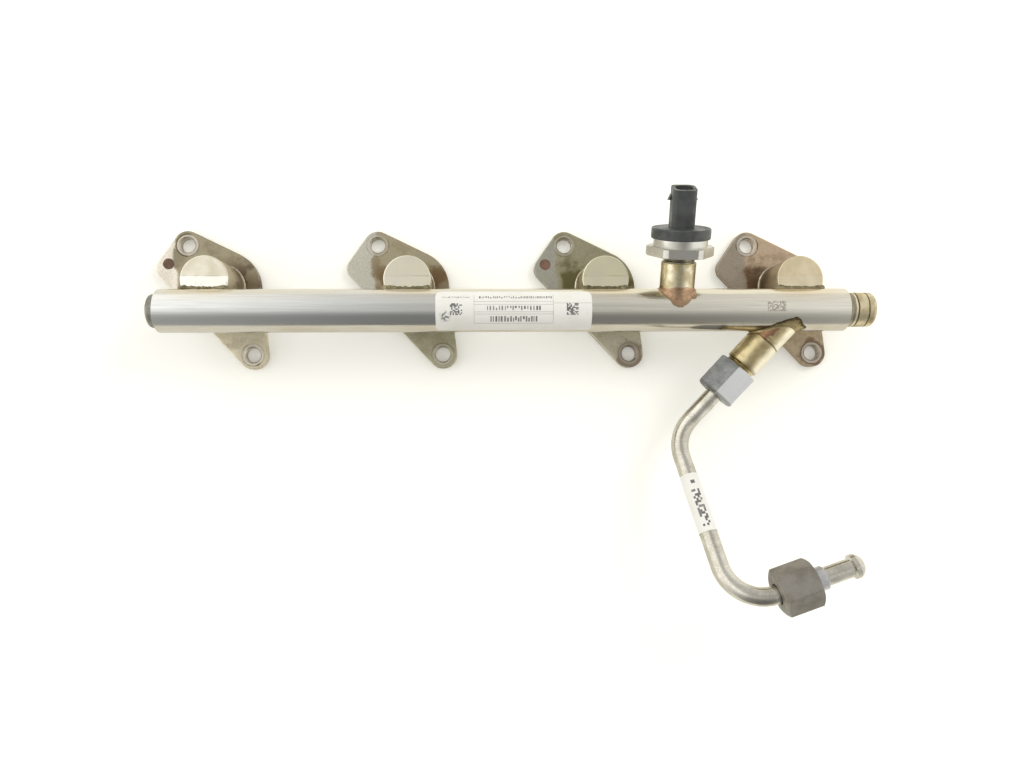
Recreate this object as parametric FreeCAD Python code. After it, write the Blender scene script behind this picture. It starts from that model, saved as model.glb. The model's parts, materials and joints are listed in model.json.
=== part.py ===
import FreeCAD, Part
import math
import os

# High-pressure fuel rail with its bent feed pipe. Millimetres and degrees.
# Origin: axis of the first injector cup, in the plane of the bracket undersides.
# +X runs along the rail, +Y points away from the feed pipe, +Z points up.

Vector = FreeCAD.Vector
up = Vector(0, 0, 1)
along_rail = Vector(1, 0, 0)

# Fits
braze_gap = 0.05            # between two brazed or pressed pieces
thread_gap = 0.1            # between a male and a female thread, drawn plain
running_clearance = 0.25    # between the pipe and what slides on it
stop_clearance = 0.3        # between a loose piece and its stop
cut_margin = 1.0            # how far a cutting shape runs past what it cuts

# Rail tube
cylinder_spacing = 90.0
cylinder_count = 4
tube_diameter = 19.5
tube_bore = 13.0
tube_offset = 14.4          # from the cups' axes to the tube's axis, towards -Y
tube_height = 28.0          # of the tube's axis over the bracket undersides
tube_overhang = 20.5        # of the tube past the first and the last cup
tube_bevel_length = 1.5     # of the turned-down edge at both ends
tube_bevel_depth = 2.1

# Plug in the left end
plug_shank_length = 8.0
plug_head_diameter = 15.0
plug_head_length = 2.6
plug_head_round = 1.4

# Closing fitting on the right end
fitting_shank_length = 7.0
fitting_neck_diameter = 14.0
fitting_diameter = 15.7
fitting_length = 11.7
fitting_end_round = 1.8
fitting_groove_width = 0.35
fitting_groove_depth = 0.25
fitting_groove_place = 7.6
fitting_braze_length = 2.2
fitting_braze_thickness = 0.65
fitting_braze_round = 0.2

# Injector cups
cup_diameter = 21.3
cup_edge_round = 0.5
cup_bore = 11.0
cup_bore_depth = 17.0
cup_mouth_diameter = 13.0
cup_mouth_depth = 2.0
cup_taper_length = 2.5      # from the mouth's size down to the bore's
cup_land_width = 3.5        # of the raised land beside the tube
cup_land_height = 0.4
injector_port = 2.4
cup_bead = 0.9              # braze bead between cup and tube

# Bracket plates
plate_thickness = 4.0
plate_edge_round = 0.5
bolt_hole = 7.0
bolt_hole_bevel = 0.6
rear_hole_x = -16.24        # bolt hole on the injector side, from the cup's axis
rear_hole_y = 20.3
front_hole_x = 14.86        # bolt hole on the far side of the tube
front_hole_y = -32.3
bolt_lobe_radius = 6.8
side_lobe_x = -25.3
side_lobe_y = 9.1
side_lobe_radius = 5.7
plate_web = 7.3             # width of the plate around the cup
foot_bead = 1.1             # braze ring at the cup's foot

# Boss for the pressure sensor
sensor_setback = 31.6       # along the rail, past the last cup but one
sensor_tilt = 20.5          # of the boss above the horizontal
sensor_boss_diameter = 15.4
sensor_boss_rise = 12.55    # past the tube's surface
sensor_thread = 12.0
sensor_bore_depth = 9.5
sensor_port = 3.0
boss_edge_round = 0.5
saddle_rise = 0.65          # of the braze saddle past the tube's surface, along the boss
saddle_sink = 7.55          # how far below it the saddle reaches down the tube's side
saddle_top_spread = 0.25
saddle_foot_spread = 2.2

# Pressure sensor
stem_length = 7.5
stem_bevel = 1.0
stem_collar_diameter = 13.2
stem_collar_length = 2.8
hex_across_flats = 27.0
hex_corner_diameter = 29.8
hex_length = 4.1
hex_bevel = 0.3
hex_turn = 23.3             # from a corner on top
neck_diameter = 23.8
neck_length = 3.25
disc_diameter = 26.0
disc_length = 4.75
disc_edge_round = 0.6
plug_width = 10.6
plug_depth = 9.0
plug_corner = 2.6
plug_length = 18.0          # longest wall of the connector
plug_mouth_slant = 2.0      # how much shorter the wall on the upper side is
socket_width = 7.6
socket_depth = 6.2
socket_corner = 2.2
socket_length = 13.0
catch_reach = 1.2
catch_length = 2.7
catch_width = 2.6
catch_setback = 3.6         # from the mouth down to the catch
catch_offset = 1.6          # from the connector's middle to its lower side
pin_count = 3
pin_pitch = 2.2
pin_width = 1.0
pin_thickness = 0.6
pin_length = 7.0

# Inlet boss, which points down and away from the rail
inlet_setback = 3.8         # along the rail, before the last cup
inlet_plan_angle = 227.5    # from +X, counter-clockwise seen from above
inlet_dip = 8.4             # below the horizontal
inlet_boss_diameter = 15.4
inlet_boss_rise = 24.45     # from the tube's surface to the thread's start
inlet_thread = 14.0
inlet_thread_length = 6.9
inlet_thread_bevel = 0.8
inlet_port = 3.0
seat_mouth_diameter = 10.2
seat_angle = 60.0
inlet_bead = 1.5

# Feed pipe
pipe_diameter = 8.0
pipe_bore = 4.0
bend_radius = 17.0
inlet_run = 69.15               # from the tube's surface to the pipe's first corner
middle_run = 81.8               # from the first corner to the second
middle_plan_angle = -78.1
middle_climb = 26.5
pump_run = 57.0                 # from the second corner to the pipe's tip
pump_plan_angle = 19.0
pump_climb = 1.0
head_length = 5.0
head_diameter = 10.4
head_ring_length = 1.9
head_tip_diameter = 6.2
head_back_length = 0.6
head_nose_turn = 30.0           # how far the curve of the nose turns

# Union nuts and thrust sleeves, alike at both ends of the pipe
nut_across_flats = 18.3
nut_corner_diameter = 20.9
nut_length = 16.4
nut_back_bevel = 1.3        # at the wall end
nut_front_bevel = 0.7       # at the threaded mouth
nut_wall = 2.6
nut_mouth_bevel = 0.8
nut_relief_length = 1.5     # of the thread's run-out groove
nut_relief_depth = 0.3
nut_turn_on_rail = -13.0    # of the rail end's nut, from a corner on top
nut_turn_on_pump = 6.0      # and of the loose nut
sleeve_diameter = 10.0
sleeve_length = 6.0
sleeve_edge = 0.4
loose_sleeve_reach = 4.9    # of the loose sleeve past the loose nut

# Labels
label_thickness = 0.15
rail_label_setback = 13.3   # along the rail, past the second cup
rail_label_length = 68.9
rail_label_front_angle = 71.0   # from the tube's top towards the feed pipe
rail_label_back_angle = 50.0    # and towards the cups
rail_label_corner = 2.5
pipe_label_start = 20.7     # along the middle run from its first corner
pipe_label_length = 27.2

# Worked out from the sizes above
tube_radius = tube_diameter / 2
bore_radius = tube_bore / 2
cup_radius = cup_diameter / 2
pipe_radius = pipe_diameter / 2
last_cup = cylinder_spacing * (cylinder_count - 1)
tube_length = last_cup + 2 * tube_overhang
cup_places = [cylinder_spacing * number for number in range(cylinder_count)]
sensor_place = cup_places[-2] + sensor_setback
inlet_place = last_cup - inlet_setback
rail_label_start = cup_places[1] + rail_label_setback
sensor_boss_reach = tube_radius + sensor_boss_rise
saddle_top = tube_radius + saddle_rise
saddle_foot = tube_radius - saddle_sink
inlet_shoulder = tube_radius + inlet_boss_rise


def tube_point(x):
    """Point on the tube's axis, at a distance along the rail from the first cup."""
    return Vector(x, -tube_offset, tube_height)


def direction(plan_angle, climb):
    """Unit vector from an angle in plan and a climb above the horizontal."""
    plan = math.radians(plan_angle)
    rise = math.radians(climb)
    return Vector(math.cos(plan) * math.cos(rise), math.sin(plan) * math.cos(rise), math.sin(rise))


def placed(shape, origin, axis, turn=0.0):
    """Put a shape's Z axis on an axis, with its X axis as near to straight up as it goes."""
    side = Vector(0, 1, 0) if abs(axis.dot(up)) > 0.99 else up
    upward = (side - axis * side.dot(axis)).normalize()
    across = axis.cross(upward)
    place = FreeCAD.Placement(origin, FreeCAD.Rotation(upward, across, axis, "ZXY"))
    spin = FreeCAD.Placement(Vector(), FreeCAD.Rotation(up, turn))
    moved = shape.copy()
    moved.Placement = place.multiply(spin).multiply(shape.Placement)
    return moved


def outline(corners):
    """Closed wire through corners (u, v) or (u, v, round), the rounds as tangent arcs."""
    starts, ends, middles = [], [], []
    count = len(corners)
    for number, corner in enumerate(corners):
        here = Vector(corner[0], corner[1], 0)
        radius = corner[2] if len(corner) > 2 else 0.0
        if not radius:
            starts.append(here)
            ends.append(here)
            middles.append(None)
            continue
        before = corners[number - 1]
        after = corners[(number + 1) % count]
        back = (Vector(before[0], before[1], 0) - here).normalize()
        ahead = (Vector(after[0], after[1], 0) - here).normalize()
        half = back.getAngle(ahead) / 2
        inward = (back + ahead).normalize()
        starts.append(here + back * (radius / math.tan(half)))
        ends.append(here + ahead * (radius / math.tan(half)))
        middles.append(here + inward * (radius / math.sin(half) - radius))
    edges = []
    for number in range(count):
        if middles[number]:
            edges.append(Part.Arc(starts[number], middles[number], ends[number]).toShape())
        following = starts[(number + 1) % count]
        if ends[number].distanceToPoint(following) > 1e-6:
            edges.append(Part.makeLine(ends[number], following))
    return Part.Wire(edges)


def spun(wire):
    """Solid of revolution about Z, from a closed wire drawn as radius on X and distance on Y."""
    solid = Part.Face(wire).revolve(Vector(), Vector(0, 1, 0), 360)
    solid.rotate(Vector(), Vector(1, 0, 0), 90)
    return solid


def turned(profile):
    """Solid of revolution about Z, from corners (radius, distance) or (radius, distance, round)."""
    return spun(outline(profile))


def hexagon(across_flats, corner_diameter, length, start_bevel, end_bevel):
    """Hexagonal bar along Z with a corner on X, its corners turned and bevelled at both ends."""
    reach = across_flats / math.sqrt(3)
    points = [direction(60 * side, 0) * reach for side in range(6)]
    bar = Part.Face(Part.makePolygon(points + points[:1])).extrude(Vector(0, 0, length))
    radius = corner_diameter / 2
    blank = turned([
        (0, 0),
        (radius - start_bevel * math.sqrt(3), 0),
        (radius, start_bevel),
        (radius, length - end_bevel),
        (radius - end_bevel * math.sqrt(3), length),
        (0, length)])
    return bar.common(blank)


def drill(diameter, length, start, axis):
    return Part.makeCylinder(diameter / 2, length, start, axis)


def tube_envelope(growth=0.0):
    """The tube's outer cylinder, longer than the tube, for coping what is brazed onto it."""
    start = tube_point(-tube_overhang - tube_diameter)
    return Part.makeCylinder(tube_radius + growth, tube_length + 2 * tube_diameter, start, along_rail)


# Feed pipe's axis: inlet boss, two bends, pump end
inlet_start = tube_point(inlet_place)
inlet_axis = direction(inlet_plan_angle, -inlet_dip)
middle_axis = direction(middle_plan_angle, middle_climb)
pump_axis = direction(pump_plan_angle, pump_climb)
first_corner = inlet_start + inlet_axis * (tube_radius + inlet_run)
second_corner = first_corner + middle_axis * middle_run
pipe_tip = second_corner + pump_axis * pump_run

# Nose of the pipe's head, an arc from its tip to its ring, drawn as in spun()
nose_length = head_length - head_ring_length - head_back_length
nose_start = Vector(head_tip_diameter / 2, 0, 0)
nose_end = Vector(head_diameter / 2, nose_length, 0)
nose_chord = nose_end - nose_start
nose_slope = math.atan2(nose_chord.x, nose_chord.y)
nose_half_turn = math.radians(head_nose_turn / 2)
nose_radius = nose_chord.Length / 2 / math.sin(nose_half_turn)


def nose_point(slope):
    """Point of the nose where its curve has a slope against the pipe's axis."""
    end_slope = nose_slope - nose_half_turn
    centre = nose_end - Vector(math.cos(end_slope), -math.sin(end_slope), 0) * nose_radius
    return centre + Vector(math.cos(slope), -math.sin(slope), 0) * nose_radius


# Rail end of the pipe, as distances from the tube's axis along the inlet boss
inlet_end = inlet_shoulder + inlet_thread_length
seat_half_angle = math.radians(seat_angle / 2)
seat_depth = (seat_mouth_diameter - inlet_port) / 2 / math.tan(seat_half_angle)
seat_contact = nose_point(min(max(seat_half_angle, nose_slope - nose_half_turn), nose_slope + nose_half_turn))
seat_contact_depth = (seat_mouth_diameter / 2 - seat_contact.x) / math.tan(seat_half_angle)
rail_head_tip = inlet_end - seat_contact_depth - seat_contact.y + braze_gap / math.sin(seat_half_angle)
rail_sleeve_start = rail_head_tip + head_length
rail_nut_wall = rail_sleeve_start + sleeve_length
rail_nut_end = rail_nut_wall + nut_wall

# Pump end of the pipe, as distances from the second corner
second_turn = middle_axis.getAngle(pump_axis)
bend_end = bend_radius * math.tan(second_turn / 2)
pump_nut_start = bend_end + stop_clearance
pump_nut_end = pump_nut_start + nut_length
pump_sleeve_end = pump_nut_end + loose_sleeve_reach

sensor_axis = direction(90, sensor_tilt)
sensor_start = tube_point(sensor_place)


def make_rail_tube():
    body = turned([
        (bore_radius, 0),
        (tube_radius - tube_bevel_depth, 0),
        (tube_radius, tube_bevel_length),
        (tube_radius, tube_length - tube_bevel_length),
        (tube_radius - tube_bevel_depth, tube_length),
        (bore_radius, tube_length)])
    body = placed(body, tube_point(-tube_overhang), along_rail)
    ports = [drill(injector_port, port_length(), port_start(x), port_axis()) for x in cup_places]
    ports.append(drill(sensor_port, tube_diameter, sensor_start, sensor_axis))
    ports.append(drill(inlet_port, tube_diameter, inlet_start, inlet_axis))
    return body.cut(Part.makeCompound(ports))


def port_start(x):
    """Middle of the cup's bore, at the height where the injector's port is drilled."""
    return Vector(x, 0, cup_bore_depth)


def port_axis():
    return (tube_point(0) - port_start(0)).normalize()


def port_length():
    return (tube_point(0) - port_start(0)).Length


def make_rail_end_plug():
    shank = bore_radius - braze_gap
    head = plug_head_diameter / 2
    plug = turned([
        (0, -plug_shank_length),
        (shank, -plug_shank_length),
        (shank, 0),
        (head, 0),
        (head, plug_head_length, plug_head_round),
        (0, plug_head_length)])
    return placed(plug, tube_point(-tube_overhang), along_rail * -1)


def make_rail_end_fitting():
    shank = bore_radius - braze_gap
    neck = fitting_neck_diameter / 2
    body = fitting_diameter / 2
    groove = body - fitting_groove_depth
    start = fitting_braze_length
    fitting = turned([
        (0, -fitting_shank_length),
        (shank, -fitting_shank_length),
        (shank, 0),
        (neck, 0),
        (neck, start),
        (body, start),
        (body, start + fitting_groove_width),
        (groove, start + fitting_groove_width),
        (groove, start + 2 * fitting_groove_width),
        (body, start + 2 * fitting_groove_width),
        (body, fitting_groove_place),
        (groove, fitting_groove_place),
        (groove, fitting_groove_place + fitting_groove_width),
        (body, fitting_groove_place + fitting_groove_width),
        (body, fitting_length, fitting_end_round),
        (0, fitting_length)])
    return placed(fitting, tube_point(last_cup + tube_overhang), along_rail)


def make_end_fitting_braze():
    inner = fitting_neck_diameter / 2 + braze_gap
    outer = inner + fitting_braze_thickness
    ring = turned([
        (inner, 0),
        (outer, 0),
        (outer, fitting_braze_length, fitting_braze_round),
        (inner, fitting_braze_length)])
    return placed(ring, tube_point(last_cup + tube_overhang), along_rail)


def make_injector_cup(x):
    bore = cup_bore / 2
    mouth = cup_mouth_diameter / 2
    cup = turned([
        (mouth, 0),
        (cup_radius, 0),
        (cup_radius, tube_height, cup_edge_round),
        (0, tube_height),
        (0, cup_bore_depth + bore / 2),
        (bore, cup_bore_depth),
        (bore, cup_mouth_depth + cup_taper_length),
        (mouth, cup_mouth_depth)])
    land_radius = cup_radius - cup_edge_round
    land = Part.makeCylinder(land_radius, cup_edge_round + cup_land_height,
                             Vector(0, 0, tube_height - cup_edge_round))
    land_edge = tube_radius - tube_offset + cup_land_width
    keep = Part.makeBox(cup_diameter, cup_diameter, cup_diameter,
                        Vector(-cup_radius, land_edge - cup_diameter, tube_height - cup_edge_round))
    cup = cup.fuse(land.common(keep)).removeSplitter()
    cup.translate(Vector(x, 0, 0))
    port = drill(injector_port, port_length(), port_start(x), port_axis())
    return cup.cut(tube_envelope(braze_gap)).cut(port)


def make_cup_braze(x):
    """Bead along the saddle where a cup's top and side meet the tube."""
    low = tube_height - tube_radius - cup_bead
    outer = Part.makeCylinder(cup_radius + cup_bead, tube_height + cup_land_height + cup_bead - low,
                              Vector(x, 0, low))
    inner = Part.makeCylinder(cup_radius + braze_gap, tube_height + cup_land_height + braze_gap - low,
                              Vector(x, 0, low))
    return outer.common(tube_envelope(cup_bead)).cut(tube_envelope(braze_gap)).cut(inner)


def hull_outline(circles):
    """Wire round circles (x, y, radius) in counter-clockwise order, by tangent lines and arcs."""
    centres = [Vector(x, y, 0) for x, y, radius in circles]
    radii = [radius for x, y, radius in circles]
    count = len(circles)
    normals = []
    for number in range(count):
        following = (number + 1) % count
        step = centres[following] - centres[number]
        distance = step.Length
        step.normalize()
        outward = Vector(step.y, -step.x, 0)
        lean = (radii[number] - radii[following]) / distance
        normals.append(step * lean + outward * math.sqrt(1 - lean * lean))
    edges = []
    for number in range(count):
        centre, radius = centres[number], radii[number]
        arriving, leaving = normals[number - 1], normals[number]
        middle = (arriving + leaving).normalize()
        edges.append(Part.Arc(centre + arriving * radius, centre + middle * radius,
                              centre + leaving * radius).toShape())
        following = (number + 1) % count
        line_end = centres[following] + leaving * radii[following]
        edges.append(Part.makeLine(centre + leaving * radius, line_end))
    return Part.Wire(edges)


def make_bracket(x):
    lobes = [
        (front_hole_x, front_hole_y, bolt_lobe_radius),
        (0, 0, cup_radius + plate_web),
        (rear_hole_x, rear_hole_y, bolt_lobe_radius),
        (side_lobe_x, side_lobe_y, side_lobe_radius)]
    plate = Part.Face(hull_outline(lobes)).extrude(up * plate_thickness)
    rim = [edge for edge in plate.Edges if edge.BoundBox.ZMin > plate_thickness / 2]
    plate = plate.makeFillet(plate_edge_round, rim)
    radius = bolt_hole / 2
    wide = radius + bolt_hole_bevel
    cutter = turned([
        (0, -cut_margin),
        (radius, -cut_margin),
        (radius, plate_thickness - bolt_hole_bevel),
        (wide, plate_thickness),
        (wide, plate_thickness + cut_margin),
        (0, plate_thickness + cut_margin)])
    for hole_x, hole_y in ((rear_hole_x, rear_hole_y), (front_hole_x, front_hole_y)):
        plate = plate.cut(cutter.translated(Vector(hole_x, hole_y, 0)))
    plate = plate.cut(Part.makeCylinder(cup_radius + braze_gap, plate_thickness))
    plate.translate(Vector(x, 0, 0))
    return plate


def make_bracket_braze(x):
    inner = cup_radius + braze_gap
    ring = turned([(inner, 0), (inner + foot_bead, 0), (inner, foot_bead)])
    ring.translate(Vector(x, 0, plate_thickness))
    return ring


def make_sensor_boss():
    radius = sensor_boss_diameter / 2
    thread = sensor_thread / 2
    floor = sensor_boss_reach - sensor_bore_depth
    boss = turned([
        (sensor_port / 2, 0),
        (radius, 0),
        (radius, sensor_boss_reach, boss_edge_round),
        (thread, sensor_boss_reach),
        (thread, floor),
        (sensor_port / 2, floor - (thread - sensor_port / 2) / 2)])
    return placed(boss, sensor_start, sensor_axis).cut(tube_envelope(braze_gap))


def make_sensor_boss_braze():
    radius = sensor_boss_diameter / 2
    inner = radius + braze_gap
    saddle = turned([
        (inner, saddle_foot),
        (radius + saddle_foot_spread, saddle_foot),
        (radius + saddle_top_spread, saddle_top),
        (inner, saddle_top)])
    saddle = placed(saddle, sensor_start, sensor_axis).cut(tube_envelope(braze_gap))
    return max(saddle.Solids, key=lambda solid: solid.Volume)


sensor_hex_start = sensor_boss_reach + stem_collar_length
sensor_neck_start = sensor_hex_start + hex_length
sensor_disc_start = sensor_neck_start + neck_length
sensor_plug_start = sensor_disc_start + disc_length
sensor_plug_end = sensor_plug_start + plug_length
socket_floor = sensor_plug_end - socket_length


def make_sensor_body():
    """Threaded stem, collar, hexagon and neck of the pressure sensor."""
    stem = sensor_thread / 2 - thread_gap
    collar = stem_collar_diameter / 2
    neck = neck_diameter / 2
    stem_start = sensor_boss_reach - stem_length
    core = turned([
        (0, stem_start),
        (stem - stem_bevel, stem_start),
        (stem, stem_start + stem_bevel),
        (stem, sensor_boss_reach),
        (collar, sensor_boss_reach),
        (collar, sensor_hex_start),
        (neck, sensor_hex_start),
        (neck, sensor_disc_start),
        (0, sensor_disc_start)])
    bar = hexagon(hex_across_flats, hex_corner_diameter, hex_length, hex_bevel, hex_bevel)
    bar.translate(up * sensor_hex_start)
    return placed(core.fuse(bar).removeSplitter(), sensor_start, sensor_axis, hex_turn)


def rounded_bar(depth, width, corner, start, end):
    """Bar along Z with rounded corners, its depth on X and its width on Y."""
    sides = [(1, 1), (-1, 1), (-1, -1), (1, -1)]
    section = outline([(u * depth / 2, v * width / 2, corner) for u, v in sides])
    bar = Part.Face(section).extrude(up * (end - start))
    bar.translate(up * start)
    return bar


def mouth_slant():
    """What is cut off the connector's mouth, more on its upper side than on its lower."""
    half_depth = plug_depth / 2
    top = sensor_plug_end + cut_margin
    corners = [
        (half_depth, sensor_plug_end - plug_mouth_slant),
        (-half_depth, sensor_plug_end),
        (-half_depth, top),
        (half_depth, top)]
    points = [Vector(u, -plug_width, z) for u, z in corners]
    return Part.Face(Part.makePolygon(points + points[:1])).extrude(Vector(0, 2 * plug_width, 0))


def connector_catch():
    """Ramp on the connector's side that holds a cable's plug, rooted in the wall."""
    wall = plug_width / 2
    root = (plug_width / 2 + socket_width / 2) / 2
    edge = sensor_plug_end - catch_setback
    corners = [
        (root, edge - catch_length),
        (wall + catch_reach, edge - catch_length),
        (wall, edge),
        (root, edge)]
    points = [Vector(-catch_offset - catch_width / 2, y, z) for y, z in corners]
    return Part.Face(Part.makePolygon(points + points[:1])).extrude(Vector(catch_width, 0, 0))


def make_sensor_connector_housing():
    """Disc and plug connector of the sensor; X of the drawing points to the upper side."""
    radius = disc_diameter / 2
    disc = turned([
        (0, sensor_disc_start),
        (radius, sensor_disc_start, disc_edge_round),
        (radius, sensor_plug_start, disc_edge_round),
        (0, sensor_plug_start)])
    shell = rounded_bar(plug_depth, plug_width, plug_corner, sensor_disc_start, sensor_plug_end)
    shell = shell.cut(mouth_slant())
    catch = connector_catch()
    other_catch = catch.mirror(Vector(), Vector(0, 1, 0))
    socket_top = sensor_plug_end + cut_margin
    socket = rounded_bar(socket_depth, socket_width, socket_corner, socket_floor, socket_top)
    housing = disc.fuse([shell, catch, other_catch]).cut(socket).removeSplitter()
    return placed(housing, sensor_start, sensor_axis)


def make_sensor_pins():
    first = -pin_pitch * (pin_count - 1) / 2
    pins = [Part.makeBox(pin_thickness, pin_width, pin_length,
                         Vector(-pin_thickness / 2, first + pin_pitch * number - pin_width / 2, socket_floor))
            for number in range(pin_count)]
    return placed(Part.makeCompound(pins), sensor_start, sensor_axis)


def make_inlet_boss():
    radius = inlet_boss_diameter / 2
    thread = inlet_thread / 2
    boss = turned([
        (inlet_port / 2, 0),
        (radius, 0),
        (radius, inlet_shoulder, boss_edge_round),
        (thread, inlet_shoulder),
        (thread, inlet_end - inlet_thread_bevel),
        (thread - inlet_thread_bevel, inlet_end),
        (seat_mouth_diameter / 2, inlet_end),
        (inlet_port / 2, inlet_end - seat_depth)])
    return placed(boss, inlet_start, inlet_axis).cut(tube_envelope(braze_gap))


def make_inlet_boss_braze():
    """Bead along the oblique saddle where the inlet boss meets the tube."""
    radius = inlet_boss_diameter / 2
    reach = inlet_shoulder - boss_edge_round
    outer = Part.makeCylinder(radius + inlet_bead, reach, inlet_start, inlet_axis)
    inner = Part.makeCylinder(radius + braze_gap, reach, inlet_start, inlet_axis)
    bead = outer.common(tube_envelope(inlet_bead)).cut(tube_envelope(braze_gap)).cut(inner)
    return max(bead.Solids, key=lambda solid: solid.Volume)


def union_nut():
    """Union nut along Z, its wall end at 0 and its threaded mouth at the nut's length."""
    thread = inlet_thread / 2 + thread_gap
    passage = pipe_radius + 2 * running_clearance
    relief = thread + nut_relief_depth
    mouth = thread + nut_mouth_bevel
    hollow = turned([
        (0, -cut_margin),
        (passage, -cut_margin),
        (passage, nut_wall),
        (relief, nut_wall),
        (relief, nut_wall + nut_relief_length),
        (thread, nut_wall + nut_relief_length + nut_relief_depth),
        (thread, nut_length - nut_mouth_bevel),
        (mouth, nut_length),
        (mouth, nut_length + cut_margin),
        (0, nut_length + cut_margin)])
    bar = hexagon(nut_across_flats, nut_corner_diameter, nut_length, nut_back_bevel, nut_front_bevel)
    return bar.cut(hollow)


def thrust_sleeve():
    """Thrust sleeve along Z, its front against the back of the pipe's head at 0."""
    inner = pipe_radius + running_clearance
    outer = sleeve_diameter / 2
    return turned([
        (inner, 0),
        (outer - sleeve_edge, 0),
        (outer, sleeve_edge),
        (outer, sleeve_length),
        (inner, sleeve_length)])


def make_rail_union_nut():
    return placed(union_nut(), inlet_start + inlet_axis * rail_nut_end, inlet_axis * -1, nut_turn_on_rail)


def make_rail_thrust_sleeve():
    return placed(thrust_sleeve(), inlet_start + inlet_axis * rail_sleeve_start, inlet_axis)


def make_pump_union_nut():
    return placed(union_nut(), second_corner + pump_axis * pump_nut_start, pump_axis, nut_turn_on_pump)


def make_pump_thrust_sleeve():
    return placed(thrust_sleeve(), second_corner + pump_axis * pump_sleeve_end, pump_axis * -1)


def pipe_head():
    """Sealing head formed on the pipe, along Z with its tip at 0."""
    corners = [
        nose_end,
        nose_end + Vector(0, head_ring_length, 0),
        Vector(pipe_radius, head_length, 0),
        Vector(pipe_bore / 2, head_length, 0),
        Vector(pipe_bore / 2, 0, 0),
        nose_start]
    edges = [Part.makeLine(start, end) for start, end in zip(corners, corners[1:])]
    edges.append(Part.Arc(nose_start, nose_point(nose_slope), nose_end).toShape())
    return spun(Part.Wire(edges))


def pipe_path():
    """Straight runs joined by tangent arcs, between the two heads."""
    points = [inlet_start + inlet_axis * rail_sleeve_start, first_corner, second_corner,
              pipe_tip - pump_axis * head_length]
    edges = []
    start = points[0]
    for number in (1, 2):
        corner = points[number]
        back = (points[number - 1] - corner).normalize()
        ahead = (points[number + 1] - corner).normalize()
        half = back.getAngle(ahead) / 2
        cut = bend_radius / math.tan(half)
        inward = (back + ahead).normalize()
        arc_start = corner + back * cut
        arc_middle = corner + inward * (bend_radius / math.sin(half) - bend_radius)
        arc_end = corner + ahead * cut
        edges.append(Part.LineSegment(start, arc_start).toShape())
        edges.append(Part.Arc(arc_start, arc_middle, arc_end).toShape())
        start = arc_end
    edges.append(Part.LineSegment(start, points[3]).toShape())
    return edges


def make_fuel_pipe():
    """Bent pipe with a sealing head on each end, built run by run."""
    pieces = []
    for edge in pipe_path():
        start = edge.valueAt(edge.FirstParameter)
        tangent = edge.tangentAt(edge.FirstParameter)
        ring = Part.Face([Part.Wire(Part.makeCircle(pipe_radius, start, tangent)),
                          Part.Wire(Part.makeCircle(pipe_bore / 2, start, tangent))])
        if edge.Curve.TypeId == "Part::GeomLine":
            pieces.append(ring.extrude(tangent * edge.Length))
        else:
            angle = math.degrees(edge.Length / bend_radius)
            pieces.append(ring.revolve(edge.Curve.Center, edge.Curve.Axis, angle))
    pieces.append(placed(pipe_head(), inlet_start + inlet_axis * rail_head_tip, inlet_axis))
    pieces.append(placed(pipe_head(), pipe_tip, pump_axis * -1))
    return pieces[0].multiFuse(pieces[1:]).removeSplitter()


def make_rail_label():
    """Paper label bent round the tube's upper side, with rounded corners."""
    inner = tube_radius + braze_gap
    outer = inner + label_thickness
    shell = turned([(inner, 0), (outer, 0), (outer, rail_label_length), (inner, rail_label_length)])
    shell = placed(shell, tube_point(rail_label_start), along_rail)
    front = -tube_offset - tube_radius * math.sin(math.radians(rail_label_front_angle))
    back = -tube_offset + tube_radius * math.sin(math.radians(rail_label_back_angle))
    end = rail_label_start + rail_label_length
    blank = Part.Face(outline([
        (rail_label_start, front, rail_label_corner / 2),
        (end, front, rail_label_corner / 2),
        (end, back, rail_label_corner),
        (rail_label_start, back, rail_label_corner)]))
    blank = blank.extrude(up * tube_diameter)
    blank.translate(up * tube_height)
    return shell.common(blank)


def make_pipe_label():
    inner = pipe_radius + braze_gap
    outer = inner + label_thickness
    wrap = turned([(inner, 0), (outer, 0), (outer, pipe_label_length), (inner, pipe_label_length)])
    return placed(wrap, first_corner + middle_axis * pipe_label_start, middle_axis)


def save(name, shape):
    solids = shape.Solids
    print(name, "solids", len(solids), "valid", shape.isValid(), "volume", round(shape.Volume, 2))
    shape = solids[0] if len(solids) == 1 else Part.makeCompound(solids)
    shape.exportStep(os.path.join("parts", name + ".step"))


os.makedirs("parts", exist_ok=True)
save("rail_tube", make_rail_tube())
save("rail_end_plug", make_rail_end_plug())
save("rail_end_fitting", make_rail_end_fitting())
save("end_fitting_braze", make_end_fitting_braze())
for number, x in enumerate(cup_places, start=1):
    save(f"injector_cup_{number}", make_injector_cup(x))
    save(f"cup_braze_{number}", make_cup_braze(x))
    save(f"bracket_{number}", make_bracket(x))
    save(f"bracket_braze_{number}", make_bracket_braze(x))
save("sensor_boss", make_sensor_boss())
save("sensor_boss_braze", make_sensor_boss_braze())
save("sensor_body", make_sensor_body())
save("sensor_connector_housing", make_sensor_connector_housing())
save("sensor_pins", make_sensor_pins())
save("inlet_boss", make_inlet_boss())
save("inlet_boss_braze", make_inlet_boss_braze())
save("rail_union_nut", make_rail_union_nut())
save("rail_thrust_sleeve", make_rail_thrust_sleeve())
save("fuel_pipe", make_fuel_pipe())
save("pump_union_nut", make_pump_union_nut())
save("pump_thrust_sleeve", make_pump_thrust_sleeve())
save("rail_label", make_rail_label())
save("pipe_label", make_pipe_label())
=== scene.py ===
import bmesh
import bpy
import json
import math
import random
from mathutils import Euler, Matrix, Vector, noise


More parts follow.
